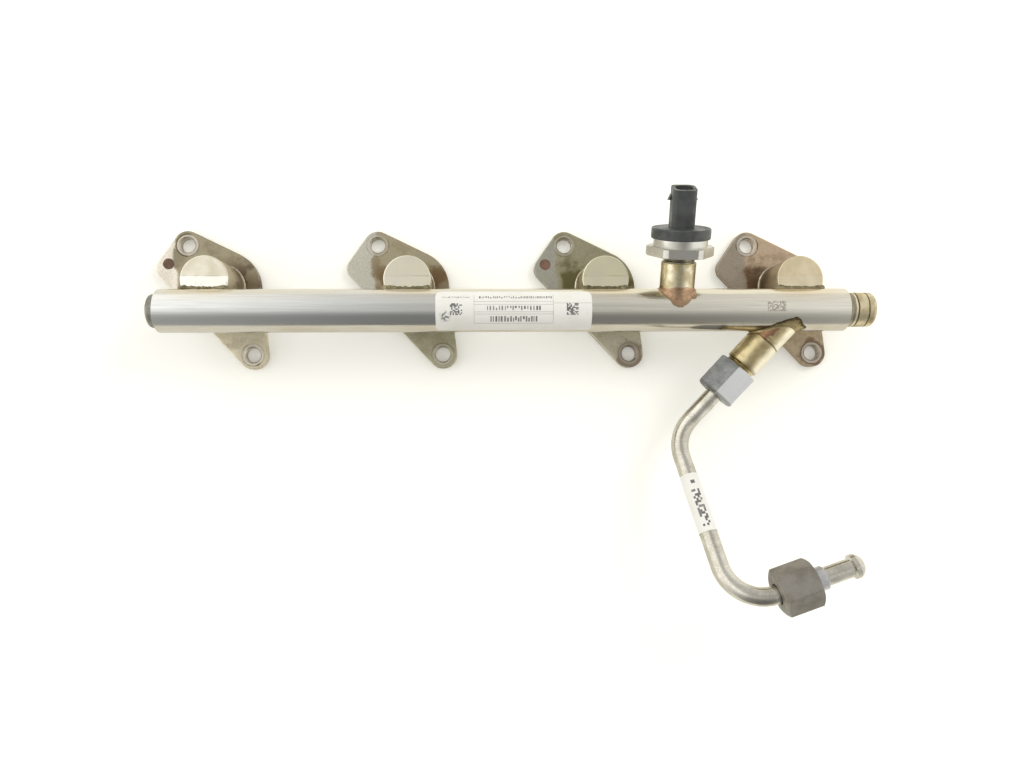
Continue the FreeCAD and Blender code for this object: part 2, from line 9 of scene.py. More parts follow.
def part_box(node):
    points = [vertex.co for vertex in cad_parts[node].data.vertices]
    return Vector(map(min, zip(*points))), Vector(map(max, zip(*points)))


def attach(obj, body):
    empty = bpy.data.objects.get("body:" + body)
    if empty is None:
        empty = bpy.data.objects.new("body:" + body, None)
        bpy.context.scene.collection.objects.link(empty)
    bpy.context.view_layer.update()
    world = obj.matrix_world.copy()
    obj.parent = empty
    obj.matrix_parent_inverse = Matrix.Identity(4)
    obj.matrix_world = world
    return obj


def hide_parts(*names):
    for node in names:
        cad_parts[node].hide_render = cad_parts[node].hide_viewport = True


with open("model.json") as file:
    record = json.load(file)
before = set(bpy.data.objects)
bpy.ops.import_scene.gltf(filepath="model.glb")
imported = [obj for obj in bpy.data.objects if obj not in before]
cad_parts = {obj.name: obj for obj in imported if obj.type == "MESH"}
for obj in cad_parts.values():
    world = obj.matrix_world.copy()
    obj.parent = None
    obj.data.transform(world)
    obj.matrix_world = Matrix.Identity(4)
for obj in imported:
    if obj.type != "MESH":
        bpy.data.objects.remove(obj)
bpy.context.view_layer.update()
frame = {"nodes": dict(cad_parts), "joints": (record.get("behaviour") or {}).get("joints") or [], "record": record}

# Fuel rail with its bent feed pipe, four injector cups, pressure sensor and union nuts
nodes = frame["nodes"]
mm = 0.001
up = Vector((0, 0, 1))
print("frame loaded:", len(nodes), "nodes")


# Places read from the frame

tubeLow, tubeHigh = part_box("rail_tube")
tubeRadius = (tubeHigh.y - tubeLow.y) / 2
tubeY = (tubeHigh.y + tubeLow.y) / 2
tubeZ = (tubeHigh.z + tubeLow.z) / 2
cupNames = sorted(name for name in nodes if name.startswith("injector_cup_"))
cupBoxes = [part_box(name) for name in cupNames]
cupPlaces = [Vector(((low.x + high.x) / 2, (low.y + high.y) / 2, 0)) for low, high in cupBoxes]
cupRadius = (cupBoxes[0][1].x - cupBoxes[0][0].x) / 2
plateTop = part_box("bracket_1")[1].z
mounts = {mount["name"]: mount for mount in frame["record"]["mounts"]}
joints = {joint["name"]: joint for joint in frame["joints"]}
pumpAxis = Vector(joints["pump_sleeve_slide"]["axis"]).normalized()
sensorAxis = Vector(mounts["sensor_socket"]["axis"]).normalized()
sensorX = mounts["sensor_socket"]["pos_m"][0]
sensorStart = Vector((sensorX, tubeY, tubeZ))


def headingOf(planAngle, climb):
    plan, rise = math.radians(planAngle), math.radians(climb)
    return Vector((math.cos(plan) * math.cos(rise), math.sin(plan) * math.cos(rise), math.sin(rise)))


def sidesOf(axis):
    # two directions square to an axis, the first as near to straight up as it goes
    upward = (up - axis * up.dot(axis)).normalized()
    return upward, axis.cross(upward)


def turnsRound(axis, count):
    # even turns round an axis in radians, and where each points
    upward, across = sidesOf(axis)
    turns = [2 * math.pi * number / count for number in range(count)]
    return [(turn, upward * math.cos(turn) + across * math.sin(turn)) for turn in turns]


# Inlet boss and feed pipe, which start on the tube's axis
inletBoss = {
    "beforeLastCup": 3.8 * mm,
    "planAngle": 227.5,
    "dip": 8.4,
    "radius": 7.7 * mm,
    "shoulder": 34.2 * mm,         # from the tube's axis
    "end": 41.1 * mm,
    "shoulderRound": 0.5 * mm,
    "threadRadius": 7.0 * mm,
    "threadDepth": 0.42 * mm,
    "threadPitch": 0.8 * mm,
    "endBevel": 0.8 * mm,
    "mouthRadius": 5.1 * mm,
    "portRadius": 1.5 * mm,
    "seatDepth": 6.24 * mm,
    "hiddenRings": (0.02 * mm, 2.6 * mm, 5.2 * mm),     # radii of the end that sits on the tube
    "bodyRings": (22 * mm, 28 * mm),
    "sides": 144,
}
inletStart = Vector((cupPlaces[-1].x - inletBoss["beforeLastCup"], tubeY, tubeZ))
inletAxis = headingOf(inletBoss["planAngle"], -inletBoss["dip"])
inletUp, inletLeft = sidesOf(inletAxis)
pipeRun = {
    "planAngle": -78.1,
    "climb": 26.5,
    "firstCorner": 78.9 * mm,      # from the tube's axis
    "radius": 4.0 * mm,
}
pipeCorner = inletStart + inletAxis * pipeRun["firstCorner"]
pipeAxis = headingOf(pipeRun["planAngle"], pipeRun["climb"])
railNutPoints = [point.co - inletStart for point in nodes["rail_union_nut"].data.vertices]
railNutEnd = max(point.dot(inletAxis) for point in railNutPoints)
# the edge between the nut's two upper flats, to the right of its axis
railNutEdge = -max(railNutPoints, key=lambda point: point.dot(inletUp)).dot(inletLeft)


# Small tools for meshes

def showMesh(name, points, faces, sharpAngle=40, edgeValues=None):
    # a shaded mesh object, smooth except over edges sharper than the angle
    mesh = bpy.data.meshes.new(name)
    mesh.from_pydata([tuple(point) for point in points], [], faces)
    if edgeValues:
        layer = mesh.attributes.new("rim", "FLOAT", "POINT")
        layer.data.foreach_set("value", edgeValues)
    shell = bmesh.new()
    shell.from_mesh(mesh)
    bmesh.ops.remove_doubles(shell, verts=shell.verts, dist=1e-7)
    bmesh.ops.recalc_face_normals(shell, faces=shell.faces)
    for face in shell.faces:
        face.smooth = True
    for edge in shell.edges:
        edge.smooth = len(edge.link_faces) == 2 and edge.calc_face_angle() < math.radians(sharpAngle)
    shell.to_mesh(mesh)
    shell.free()
    piece = bpy.data.objects.new(name, mesh)
    bpy.context.scene.collection.objects.link(piece)
    return piece


def ringMesh(name, rings, closedLong=False, capEnds=True, sharpAngle=40, rims=None):
    # skin over rings of equal count, each ring closed; rims holds one value a ring point
    count = len(rings[0])
    points = [point for ring in rings for point in ring]
    faces = []
    last = len(rings) if closedLong else len(rings) - 1
    for row in range(last):
        first, second = row * count, (row + 1) % len(rings) * count
        for number in range(count):
            after = (number + 1) % count
            faces.append((first + number, first + after, second + after, second + number))
    if capEnds and not closedLong:
        faces.append(tuple(range(count)))
        faces.append(tuple(reversed(range((len(rings) - 1) * count, len(rings) * count))))
    values = [value for ring in rims for value in ring] if rims else None
    return showMesh(name, points, faces, sharpAngle, values)


def wobble(place, size, seed):
    # smooth random value of about -1 to 1, with features of about that size
    return noise.noise(Vector(place) / size + Vector((seed * 7.3, seed * 3.1, seed * 5.7)))


def beadMesh(name, path, radii, seed, roughness=0.25, sides=12, grain=1.6 * mm):
    # closed bead of braze along a path of (point, outward direction)
    rings, rims = [], []
    count = len(path)
    for number, (point, outward) in enumerate(path):
        ahead = (path[(number + 1) % count][0] - path[number - 1][0]).normalized()
        across = ahead.cross(outward).normalized()
        outward = across.cross(ahead).normalized()
        ring, rim = [], []
        for side in range(sides):
            turn = 2 * math.pi * side / sides
            way = outward * math.cos(turn) + across * math.sin(turn)
            reach = radii[number]
            reach *= 1 + roughness * wobble(point + way * reach, grain, seed)
            reach *= 1 + 0.4 * roughness * wobble(point + way * reach, grain / 3, seed + 1)
            ring.append(point + way * reach)
            rim.append(abs(math.sin(turn)))
        rings.append(ring)
        rims.append(rim)
    return ringMesh(name, rings, closedLong=True, rims=rims)


def pointOnTube(place, lift=0.0):
    # the nearest point of the tube's surface
    away = Vector((0, place.y - tubeY, place.z - tubeZ)).normalized()
    return Vector((place.x, tubeY, tubeZ)) + away * (tubeRadius + lift)


def tubeCrossing(start, axis, offset, radius):
    # how far along a line parallel to the axis it leaves a cylinder round the tube's axis
    a = axis.y ** 2 + axis.z ** 2
    b = 2 * (axis.y * offset.y + axis.z * offset.z)
    c = offset.y ** 2 + offset.z ** 2 - radius ** 2
    return (-b + math.sqrt(b * b - 4 * a * c)) / (2 * a)


def filletMesh(name, start, axis, radius, topOf, spreadOf, seed, rounds=240, steps=12):
    # braze that climbs from the tube onto a boss; topOf and spreadOf take the turn in degrees
    upward, across = sidesOf(axis)
    rings, rims = [], []
    for number in range(rounds):
        turn = 360 * number / rounds
        angle = math.radians(turn)
        outward = upward * math.cos(angle) + across * math.sin(angle)
        crossing = tubeCrossing(start, axis, outward * radius, tubeRadius)
        corner = start + axis * crossing + outward * radius
        tubeNormal = Vector((0, corner.y - tubeY, corner.z - tubeZ)).normalized()
        along = outward - axis * 0.35
        along = (along - tubeNormal * along.dot(tubeNormal)).normalized()
        ragged = 1 + 0.22 * wobble(corner, 2.2 * mm, seed) + 0.12 * wobble(corner, 0.8 * mm, seed + 2)
        foot = pointOnTube(corner + along * spreadOf(turn) * ragged, 0.12 * mm)
        climb = max(topOf(turn, crossing), crossing + 0.3 * mm)
        top = start + axis * climb + outward * (radius + 0.06 * mm)
        middle = corner + (outward + tubeNormal) * 0.10 * mm
        ring, rim = [], []
        for step in range(steps + 1):
            share = step / steps
            point = top * (1 - share) ** 2 + middle * 2 * share * (1 - share) + foot * share ** 2
            swell = 0.10 * mm * wobble(point, 1.5 * mm, seed + 4) * math.sin(math.pi * share)
            point = point + (outward + tubeNormal).normalized() * swell
            cover = (0.12 + 0.25 * math.sin(math.pi * share)) * mm
            if math.hypot(point.y - tubeY, point.z - tubeZ) < tubeRadius + cover:
                point = pointOnTube(point, cover)
            ring.append(point)
            rim.append(share)
        inside = corner - (outward + tubeNormal).normalized() * 0.5 * mm
        ring.append(pointOnTube(foot, -0.25 * mm))
        ring.append(inside)
        ring.append(top - outward * 0.3 * mm)
        rim += [1.0, 0.5, 0.0]
        rings.append(ring)
        rims.append(rim)
    return ringMesh(name, rings, closedLong=True, sharpAngle=50, rims=rims)


# Small tools for materials

def srgb(red, green, blue):
    # a screen colour of 0 to 255 as Blender's linear colour
    linear = []
    for value in (red / 255, green / 255, blue / 255):
        linear.append(value / 12.92 if value <= 0.04045 else ((value + 0.055) / 1.055) ** 2.4)
    return (*linear, 1.0)


def addNode(tree, kind, inputs=None, **settings):
    made = tree.nodes.new(kind)
    for key, value in settings.items():
        setattr(made, key, value)
    for key, value in (inputs or {}).items():
        if isinstance(value, bpy.types.NodeSocket):
            tree.links.new(value, made.inputs[key])
        else:
            made.inputs[key].default_value = value
    return made


def startMaterial(name, **values):
    # a new material with one Principled shader, and its place in the part's frame
    material = bpy.data.materials.new(name)
    material.use_nodes = True
    tree = material.node_tree
    tree.nodes.clear()
    shader = addNode(tree, "ShaderNodeBsdfPrincipled", values)
    output = addNode(tree, "ShaderNodeOutputMaterial")
    tree.links.new(shader.outputs["BSDF"], output.inputs["Surface"])
    place = addNode(tree, "ShaderNodeTexCoord").outputs["Object"]
    return material, tree, shader, place


def arithmetic(tree, operation, first, second=0.0, third=None):
    inputs = {0: first, 1: second}
    if third is not None:
        inputs[2] = third
    return addNode(tree, "ShaderNodeMath", inputs, operation=operation).outputs[0]


def product(tree, first, second):
    return arithmetic(tree, "MULTIPLY", first, second)


def total(tree, first, second):
    return arithmetic(tree, "ADD", first, second)


def vectorStep(tree, operation, first, second):
    return addNode(tree, "ShaderNodeVectorMath", {0: first, 1: second}, operation=operation).outputs


def ramp(tree, value, low, high, toLow=0.0, toHigh=1.0):
    # a smooth step from toLow at low to toHigh at high
    inputs = {"Value": value, "From Min": low, "From Max": high, "To Min": toLow, "To Max": toHigh}
    step = addNode(tree, "ShaderNodeMapRange", inputs, interpolation_type="SMOOTHSTEP")
    return step.outputs["Result"]


def shifted(tree, place, offset=(0, 0, 0), stretch=(1, 1, 1), turn=(0, 0, 0)):
    inputs = {"Vector": place, "Location": offset, "Scale": stretch, "Rotation": turn}
    return addNode(tree, "ShaderNodeMapping", inputs).outputs["Vector"]


def mottle(tree, place, size, low, high, detail=4.0, roughness=0.55, stretch=(1, 1, 1), seed=0.0):
    # noise with features of about that size, as a mask of 0 to 1
    spot = shifted(tree, place, (seed, seed * 0.7, -seed), stretch)
    inputs = {"Vector": spot, "Scale": 1 / size, "Detail": detail, "Roughness": roughness}
    return ramp(tree, addNode(tree, "ShaderNodeTexNoise", inputs).outputs["Fac"], low, high)


def mixColour(tree, amount, first, second):
    inputs = {"Factor": amount, 6: first, 7: second}
    return addNode(tree, "ShaderNodeMix", inputs, data_type="RGBA").outputs[2]


def splitPlace(tree, place):
    made = addNode(tree, "ShaderNodeSeparateXYZ", {"Vector": place})
    return made.outputs["X"], made.outputs["Y"], made.outputs["Z"]


def farFrom(tree, place, point, flat=False):
    # distance from a point, or from the upright line through it
    if flat:
        place = shifted(tree, place, stretch=(1, 1, 0))
        point = (point[0], point[1], 0)
    return vectorStep(tree, "DISTANCE", place, tuple(point))["Value"]


def alongAxis(tree, place, start, axis):
    # distance from a point along an axis
    away = vectorStep(tree, "SUBTRACT", place, tuple(start))["Vector"]
    return vectorStep(tree, "DOT_PRODUCT", away, tuple(axis))["Value"]


def band(tree, value, centre, halfWidth, soft):
    # 1 within the half width of a centre, fading out over the soft width
    away = arithmetic(tree, "ABSOLUTE", arithmetic(tree, "SUBTRACT", value, centre))
    return ramp(tree, away, halfWidth, halfWidth + soft, 1.0, 0.0)


def coat(tree, shader, colour, mask, roughness, height, distance, strength):
    # the shader's colour, its roughness by a mask, and its bump
    tree.links.new(colour, shader.inputs["Base Color"])
    if mask:
        tree.links.new(ramp(tree, mask, 0.0, 1.0, *roughness), shader.inputs["Roughness"])
    bump = addNode(tree, "ShaderNodeBump", {"Height": height, "Distance": distance, "Strength": strength})
    tree.links.new(bump.outputs["Normal"], shader.inputs["Normal"])


def dress(nodeName, material):
    piece = nodes[nodeName]
    piece.data.materials.clear()
    piece.data.materials.append(material)


def finishPiece(piece, material, body, replaced=()):
    piece.data.materials.append(material)
    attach(piece, body)
    if replaced:
        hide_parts(*replaced)
    return piece


# Rail tube: drawn stainless, satin, with pale heat tints near the cups, and a painted reflection of the floor
# along its rear and front sides

tubeLook = {
    "steel": srgb(214, 215, 211),
    "warmSteel": srgb(226, 221, 206),
    "warmPart": (60 * mm, 200 * mm),
    "tint": srgb(212, 196, 166),
    "shade": srgb(184, 182, 173),
    "rearPart": (tubeY + 1 * mm, tubeY + 9 * mm),            # where the rear tint starts and is full: heat tint by the cups, painted reflection of the floor elsewhere
    "cupHeat": (9 * mm, 26 * mm),                            # from a cup, where the tint is full and ends
    "frontFloorReflection": srgb(182, 173, 155),
    "frontReflectionPart": (tubeY - 5.5 * mm, tubeY - 8.5 * mm),
    "roughness": (0.15, 0.28),
    "streakSize": 0.5 * mm,
    "markPlace": (255.0 * mm, 8.2 * mm),                     # middle and length of the etched mark
    "markWidth": 4.6 * mm,
    "markCell": 0.52 * mm,
    "markColour": srgb(126, 112, 100),
}


def tubeMaterial():
    material, tree, shader, place = startMaterial("tubeSteel", Metallic=1.0)
    streaks = mottle(tree, place, tubeLook["streakSize"], 0.25, 0.75, 5.0, stretch=(0.03, 1, 1))
    clouds = mottle(tree, place, 14 * mm, 0.35, 0.70, stretch=(0.5, 1, 1))
    x, y, z = splitPlace(tree, place)
    warm = ramp(tree, x, *tubeLook["warmPart"])
    colour = mixColour(tree, warm, tubeLook["steel"], tubeLook["warmSteel"])
    colour = mixColour(tree, product(tree, streaks, 0.35), colour, tubeLook["shade"])
    rear = ramp(tree, y, *tubeLook["rearPart"])
    nearCups = None
    for cup in cupPlaces:
        near = ramp(tree, farFrom(tree, place, cup + up * tubeZ), *tubeLook["cupHeat"], 1.0, 0.0)
        nearCups = near if nearCups is None else arithmetic(tree, "MAXIMUM", nearCups, near)
    # heat tint near the cups; away from them a painted reflection of the floor along the rear side
    tint = product(tree, arithmetic(tree, "MAXIMUM", nearCups, 0.35), rear)
    tint = product(tree, tint, ramp(tree, clouds, 0.0, 1.0, 0.55, 1.0))
    colour = mixColour(tree, tint, colour, tubeLook["tint"])
    # painted reflection of the floor: the tube's front side painted beige and darker
    front = product(tree, ramp(tree, y, *tubeLook["frontReflectionPart"]), ramp(tree, clouds, 0, 1, 0.6, 0.95))
    colour = mixColour(tree, front, colour, tubeLook["frontFloorReflection"])
    markX, markLength = tubeLook["markPlace"]
    inMark = product(tree, band(tree, x, markX, markLength / 2, 0.1 * mm),
                     band(tree, y, tubeY + 0.5 * mm, tubeLook["markWidth"] / 2, 0.1 * mm))
    inMark = product(tree, inMark, ramp(tree, z, tubeZ, tubeZ + mm))
    flat = shifted(tree, place, stretch=(1, 1, 0))
    cells = vectorStep(tree, "SNAP", flat, (tubeLook["markCell"],) * 3)["Vector"]
    blocks = addNode(tree, "ShaderNodeTexWhiteNoise", {"Vector": cells}).outputs["Value"]
    etched = product(tree, inMark, ramp(tree, blocks, 0.40, 0.55))
    colour = mixColour(tree, product(tree, etched, 0.6), colour, tubeLook["markColour"])
    wearAndHighlight = arithmetic(tree, "MAXIMUM", product(tree, streaks, 0.8), etched)
    coat(tree, shader, colour, wearAndHighlight, tubeLook["roughness"], streaks, 0.012 * mm, 0.5)
    return material


# Brackets: stamped plates with a brown heat tint, cleaner where they were held, with front lobes painted lighter
# as painted light

bracketLook = {
    "ring": srgb(208, 200, 186),
    "ringLine": srgb(98, 86, 68),
    "burnt": srgb(108, 84, 66),
    "grime": srgb(96, 86, 68),
    "holes": ((-16.24 * mm, 20.3 * mm), (14.86 * mm, -32.3 * mm)),
    "ringRadius": 5.1 * mm,
    # from the cup's axis, where each part starts and is full
    "paintedLightLobe": (-14 * mm, -20 * mm),
    "heatRight": (-2 * mm, 13 * mm),
    "heatLeft": (-21 * mm, -15 * mm),
    "heatLeftEnd": (-13 * mm, 4 * mm),
    "heatRear": (19 * mm, 2 * mm),
    "heatFront": (-20 * mm, -8 * mm),
    # per bracket: its colour, the front lobe's painted lighter colour (painted light), the heat's and the clean
    # patch's, that patch's edge, how much heat is left and right of the cup, how plain the rings are and the front
    # hole's stain
    "patches": (
        {"base": srgb(158, 149, 124), "front": srgb(226, 217, 190), "heat": srgb(112, 96, 76),
         "clean": srgb(236, 228, 212), "edge": -21.5 * mm, "left": 0.1, "right": 0.8,
         "rings": 1.0, "stain": 0.2},
        {"base": srgb(172, 163, 136), "front": srgb(186, 181, 154), "heat": srgb(126, 104, 74),
         "clean": srgb(206, 203, 188), "edge": -17.8 * mm, "left": 0.55, "right": 0.8,
         "rings": 0.5, "stain": 0.0},
        {"base": srgb(166, 160, 132), "front": srgb(206, 200, 178), "heat": srgb(112, 106, 72),
         "clean": srgb(176, 174, 160), "edge": -20.0 * mm, "left": 0.95, "right": 0.5,
         "rings": 0.4, "stain": 0.7},
        {"base": srgb(196, 174, 146), "front": srgb(188, 172, 144), "heat": srgb(108, 87, 66),
         "clean": srgb(160, 150, 134), "edge": -17.5 * mm, "left": 1.2, "right": 0.3,
         "rings": 0.9, "stain": 0.8},
    ),
}


def bracketMaterial(number, look):
    material, tree, shader, place = startMaterial(f"bracketSteel{number}", Metallic=1.0)
    cup = cupPlaces[number - 1]
    place = shifted(tree, place, (-cup.x, 0, 0))
    x, y, z = splitPlace(tree, place)
    clouds = mottle(tree, place, 9 * mm, 0.36, 0.66, 6.0, seed=number)
    grains = mottle(tree, place, 0.9 * mm, 0.35, 0.70, 4.0, seed=number + 3)
    rightSide = ramp(tree, x, *bracketLook["heatRight"], 0.0, look["right"])
    inner = product(tree, ramp(tree, y, *bracketLook["heatRear"]), ramp(tree, y, *bracketLook["heatFront"]))
    leftSide = product(tree, ramp(tree, x, *bracketLook["heatLeft"]),
                       ramp(tree, x, *bracketLook["heatLeftEnd"], look["left"], 0.0))
    dark = product(tree, total(tree, leftSide, rightSide), inner)
    dark = total(tree, dark, ramp(tree, clouds, 0.0, 1.0, -0.25, 0.35))
    # painted light: the front lobes painted lighter, standing in for the bright room they reflect
    colour = mixColour(tree, ramp(tree, y, *bracketLook["paintedLightLobe"]), look["base"], look["front"])
    colour = mixColour(tree, ramp(tree, dark, 0.1, 1.0), colour, look["heat"])
    ragged = total(tree, x, ramp(tree, clouds, 0.0, 1.0, -1.2 * mm, 1.2 * mm))
    clean = ramp(tree, ragged, look["edge"] + 0.4 * mm, look["edge"] - 1.2 * mm)
    colour = mixColour(tree, product(tree, clean, 0.9), colour, look["clean"])
    for hole, stain in zip(bracketLook["holes"], (0.0, look["stain"])):
        away = farFrom(tree, place, (*hole, 0), flat=True)
        if stain:
            ragged = total(tree, away, ramp(tree, clouds, 0, 1, -1.5 * mm, 1.5 * mm))
            burnt = ramp(tree, ragged, 5 * mm, 8 * mm, stain, 0.0)
            colour = mixColour(tree, burnt, colour, bracketLook["burnt"])
        seat = product(tree, ramp(tree, away, 5.0 * mm, 5.4 * mm, 1.0, 0.0), 0.75 * look["rings"])
        colour = mixColour(tree, seat, colour, bracketLook["ring"])
        line = product(tree, band(tree, away, bracketLook["ringRadius"] + 0.2 * mm, 0.15 * mm, 0.3 * mm),
                       ramp(tree, clouds, 0.2, 0.8, 0.3, 1.0))
        colour = mixColour(tree, product(tree, line, look["rings"]), colour, bracketLook["ringLine"])
    colour = mixColour(tree, product(tree, grains, 0.18), colour, bracketLook["grime"])
    coat(tree, shader, colour, clouds, (0.38, 0.55), grains, 0.03 * mm, 0.5)
    return material


# Injector cups: turned steel, cream to yellow on top, with a cleaner land along the tube

cupLook = {
    "landEdge": 1.3 * mm,
    "landColour": srgb(244, 242, 231),
    "lineColour": srgb(120, 112, 88),
    "side": srgb(196, 185, 158),
    "shadow": srgb(108, 92, 70),
    "speck": srgb(130, 120, 96),
    # per cup: its top's two tones, and how plain its land, its dark foot and the land's line are
    "cups": (
        {"top": srgb(220, 213, 194), "tint": srgb(202, 194, 166), "land": 0.95, "dark": 0.3, "line": 1.0},
        {"top": srgb(230, 224, 204), "tint": srgb(212, 202, 172), "land": 0.12, "dark": 0.5, "line": 0.8},
        {"top": srgb(220, 214, 186), "tint": srgb(206, 200, 162), "land": 0.08, "dark": 0.5, "line": 0.8},
        {"top": srgb(222, 208, 176), "tint": srgb(198, 180, 140), "land": 0.12, "dark": 0.8, "line": 0.15},
    ),
}


def cupMaterial(number, look):
    material, tree, shader, place = startMaterial(f"cupSteel{number}", Metallic=1.0)
    cup = cupPlaces[number - 1]
    place = shifted(tree, place, (-cup.x, 0, 0))
    x, y, z = splitPlace(tree, place)
    clouds = mottle(tree, place, 7 * mm, 0.34, 0.68, 6.0, seed=number + 11)
    specks = mottle(tree, place, 0.8 * mm, 0.62, 0.74, 3.0, seed=number + 5)
    cuts = mottle(tree, place, 0.7 * mm, 0.3, 0.7, 3.0, stretch=(0.12, 1, 1), seed=number + 2)
    colour = mixColour(tree, product(tree, clouds, 0.5), look["top"], look["tint"])
    edge = cupLook["landEdge"]
    land = product(tree, ramp(tree, y, edge + 0.5 * mm, edge - 0.4 * mm), look["land"])
    colour = mixColour(tree, land, colour, cupLook["landColour"])
    broken = ramp(tree, clouds, 0, 1, 0.1 * look["line"], 0.6 * look["line"])
    line = product(tree, band(tree, y, edge, 0.05 * mm, 0.2 * mm), broken)
    colour = mixColour(tree, line, colour, cupLook["lineColour"])
    side = ramp(tree, z, tubeZ - 0.9 * mm, tubeZ - 0.2 * mm, 1.0, 0.0)
    colour = mixColour(tree, side, colour, cupLook["side"])
    low = product(tree, ramp(tree, z, 22 * mm, 5 * mm), look["dark"])
    colour = mixColour(tree, low, colour, cupLook["shadow"])
    colour = mixColour(tree, product(tree, specks, 0.3), colour, cupLook["speck"])
    coat(tree, shader, colour, clouds, (0.30, 0.44), cuts, 0.01 * mm, 0.4)
    return material


# Plain finishes shared by several pieces

def metalMaterial(name, light, dark, roughness, grain, bump, rimColour=None, shadeEnd=None,
                  paintedHighlightSide=None):
    # mottled metal: two tones, grain of a given size, rougher where darker; rimColour goes where the
    # mesh's rim value is high, shadeEnd gives an axis and how far along it the end painted darker as painted shade
    # is, and the last argument a point, a direction, how far along it the side painted lighter as a painted
    # highlight starts and is full, and its colour
    material, tree, shader, place = startMaterial(name, Metallic=1.0)
    clouds = mottle(tree, place, 8 * mm, 0.35, 0.66, 5.0)
    grains = mottle(tree, place, grain, 0.32, 0.70, 4.0)
    amount = arithmetic(tree, "MULTIPLY_ADD", grains, 0.4, product(tree, clouds, 0.6))
    colour = mixColour(tree, amount, light, dark)
    if rimColour:
        rim = addNode(tree, "ShaderNodeAttribute", attribute_name="rim").outputs["Fac"]
        ragged = total(tree, rim, ramp(tree, grains, 0.0, 1.0, -0.10, 0.10))
        colour = mixColour(tree, ramp(tree, ragged, 0.62, 0.95), colour, rimColour)
    if paintedHighlightSide:
        start, axis, first, last, highlightColour = paintedHighlightSide
        # painted highlight: the nut's right upper flat painted lighter, for the light it catches
        wearAndHighlight = ramp(tree, alongAxis(tree, place, start, axis), first, last, 0.0, 0.85)
        colour = mixColour(tree, wearAndHighlight, colour, highlightColour)
    if shadeEnd:
        start, axis, end = shadeEnd
        reach = alongAxis(tree, place, start, axis)
        # painted shade: the nut's end painted darker, standing in for the dark it reflects
        soiledAndShaded = ramp(tree, reach, end - 1.9 * mm, end - 0.7 * mm, 0.0, 0.6)
        colour = mixColour(tree, soiledAndShaded, colour, srgb(92, 90, 84))
    coat(tree, shader, colour, amount, roughness, grains, bump, 0.6)
    return material


def plasticMaterial(name, light, dark, roughness, grain, bump):
    material, tree, shader, place = startMaterial(name, Metallic=0.0)
    clouds = mottle(tree, place, 6 * mm, 0.35, 0.65)
    grains = mottle(tree, place, grain, 0.30, 0.70)
    coat(tree, shader, mixColour(tree, clouds, light, dark), clouds, roughness, grains, bump, 0.7)
    return material


# Gold plated bosses: zinc plate with a yellow passivation, turned along their axis; the inlet boss has a painted
# highlight down one side

turnedRing = 0.25 * mm


def plateMaterial(name, start, axis, light, dark, stains=(), roughness=(0.26, 0.42), highlightColour=None):
    # stains holds (from, to, colour, amount, side) as distances along the axis; side is where the stain
    # begins across the axis, or None for all round; the last argument is the colour of a painted highlight on the
    # side away from the stains
    material, tree, shader, place = startMaterial(name, Metallic=1.0)
    reach = alongAxis(tree, place, start, axis)
    clouds = mottle(tree, place, 5 * mm, 0.36, 0.66, 5.0)
    inputs = {"W": product(tree, reach, 1 / turnedRing), "Scale": 1.0}
    rings = addNode(tree, "ShaderNodeTexNoise", inputs, noise_dimensions="1D").outputs["Fac"]
    colour = mixColour(tree, clouds, light, dark)
    aside = alongAxis(tree, place, start, sidesOf(axis)[1])
    # painted highlight: one side of the boss painted lighter
    if highlightColour:
        colour = mixColour(tree, ramp(tree, aside, -1.5 * mm, -5.5 * mm, 0.0, 0.9), colour, highlightColour)
    for first, second, stain, amount, side in stains:
        narrow = second - first < 1 * mm
        rough = 0.12 * mm if narrow else 0.6 * mm
        ragged = total(tree, reach, ramp(tree, clouds, 0.0, 1.0, -rough, rough))
        inside = band(tree, ragged, (first + second) / 2, (second - first) / 2, 0.25 * mm)
        patchy = mottle(tree, place, 6 * mm, 0.15, 0.42, 4.0, seed=first * 900)
        inside = product(tree, product(tree, inside, patchy), amount)
        if side is not None:
            shifting = total(tree, aside, ramp(tree, clouds, 0.0, 1.0, -1.5 * mm, 1.5 * mm))
            inside = product(tree, inside, ramp(tree, shifting, side - 1.2 * mm, side + 1.2 * mm))
        colour = mixColour(tree, inside, colour, stain)
    coat(tree, shader, colour, clouds, roughness, rings, 0.008 * mm, 0.5)
    return material


# Labels: coated white paper, a little soiled

def labelMaterial(name, soiledAndShaded):
    material, tree, shader, place = startMaterial(name, Metallic=0.0, Roughness=0.42)
    clouds = mottle(tree, place, 12 * mm, 0.40, 0.75, 5.0)
    specks = mottle(tree, place, 0.5 * mm, 0.66, 0.76, 2.0)
    colour = mixColour(tree, product(tree, clouds, 0.5), srgb(229, 227, 218), srgb(216, 213, 200))
    colour = mixColour(tree, product(tree, specks, soiledAndShaded), colour, srgb(150, 146, 132))
    for spot, reach in labelSmudges:
        near = ramp(tree, farFrom(tree, place, spot), reach * 0.4, reach, 1.0, 0.0)
        patchy = mottle(tree, place, 1.3 * mm, 0.42, 0.60, 3.0)
        colour = mixColour(tree, product(tree, near, patchy), colour, srgb(128, 128, 120))
    coat(tree, shader, colour, None, None, mottle(tree, place, 5 * mm, 0.2, 0.8), 0.05 * mm, 0.25)
    return material


labelSmudges = [(Vector((107.4 * mm, tubeY - 3.9 * mm, tubeZ + 9.1 * mm)), 3.2 * mm)]

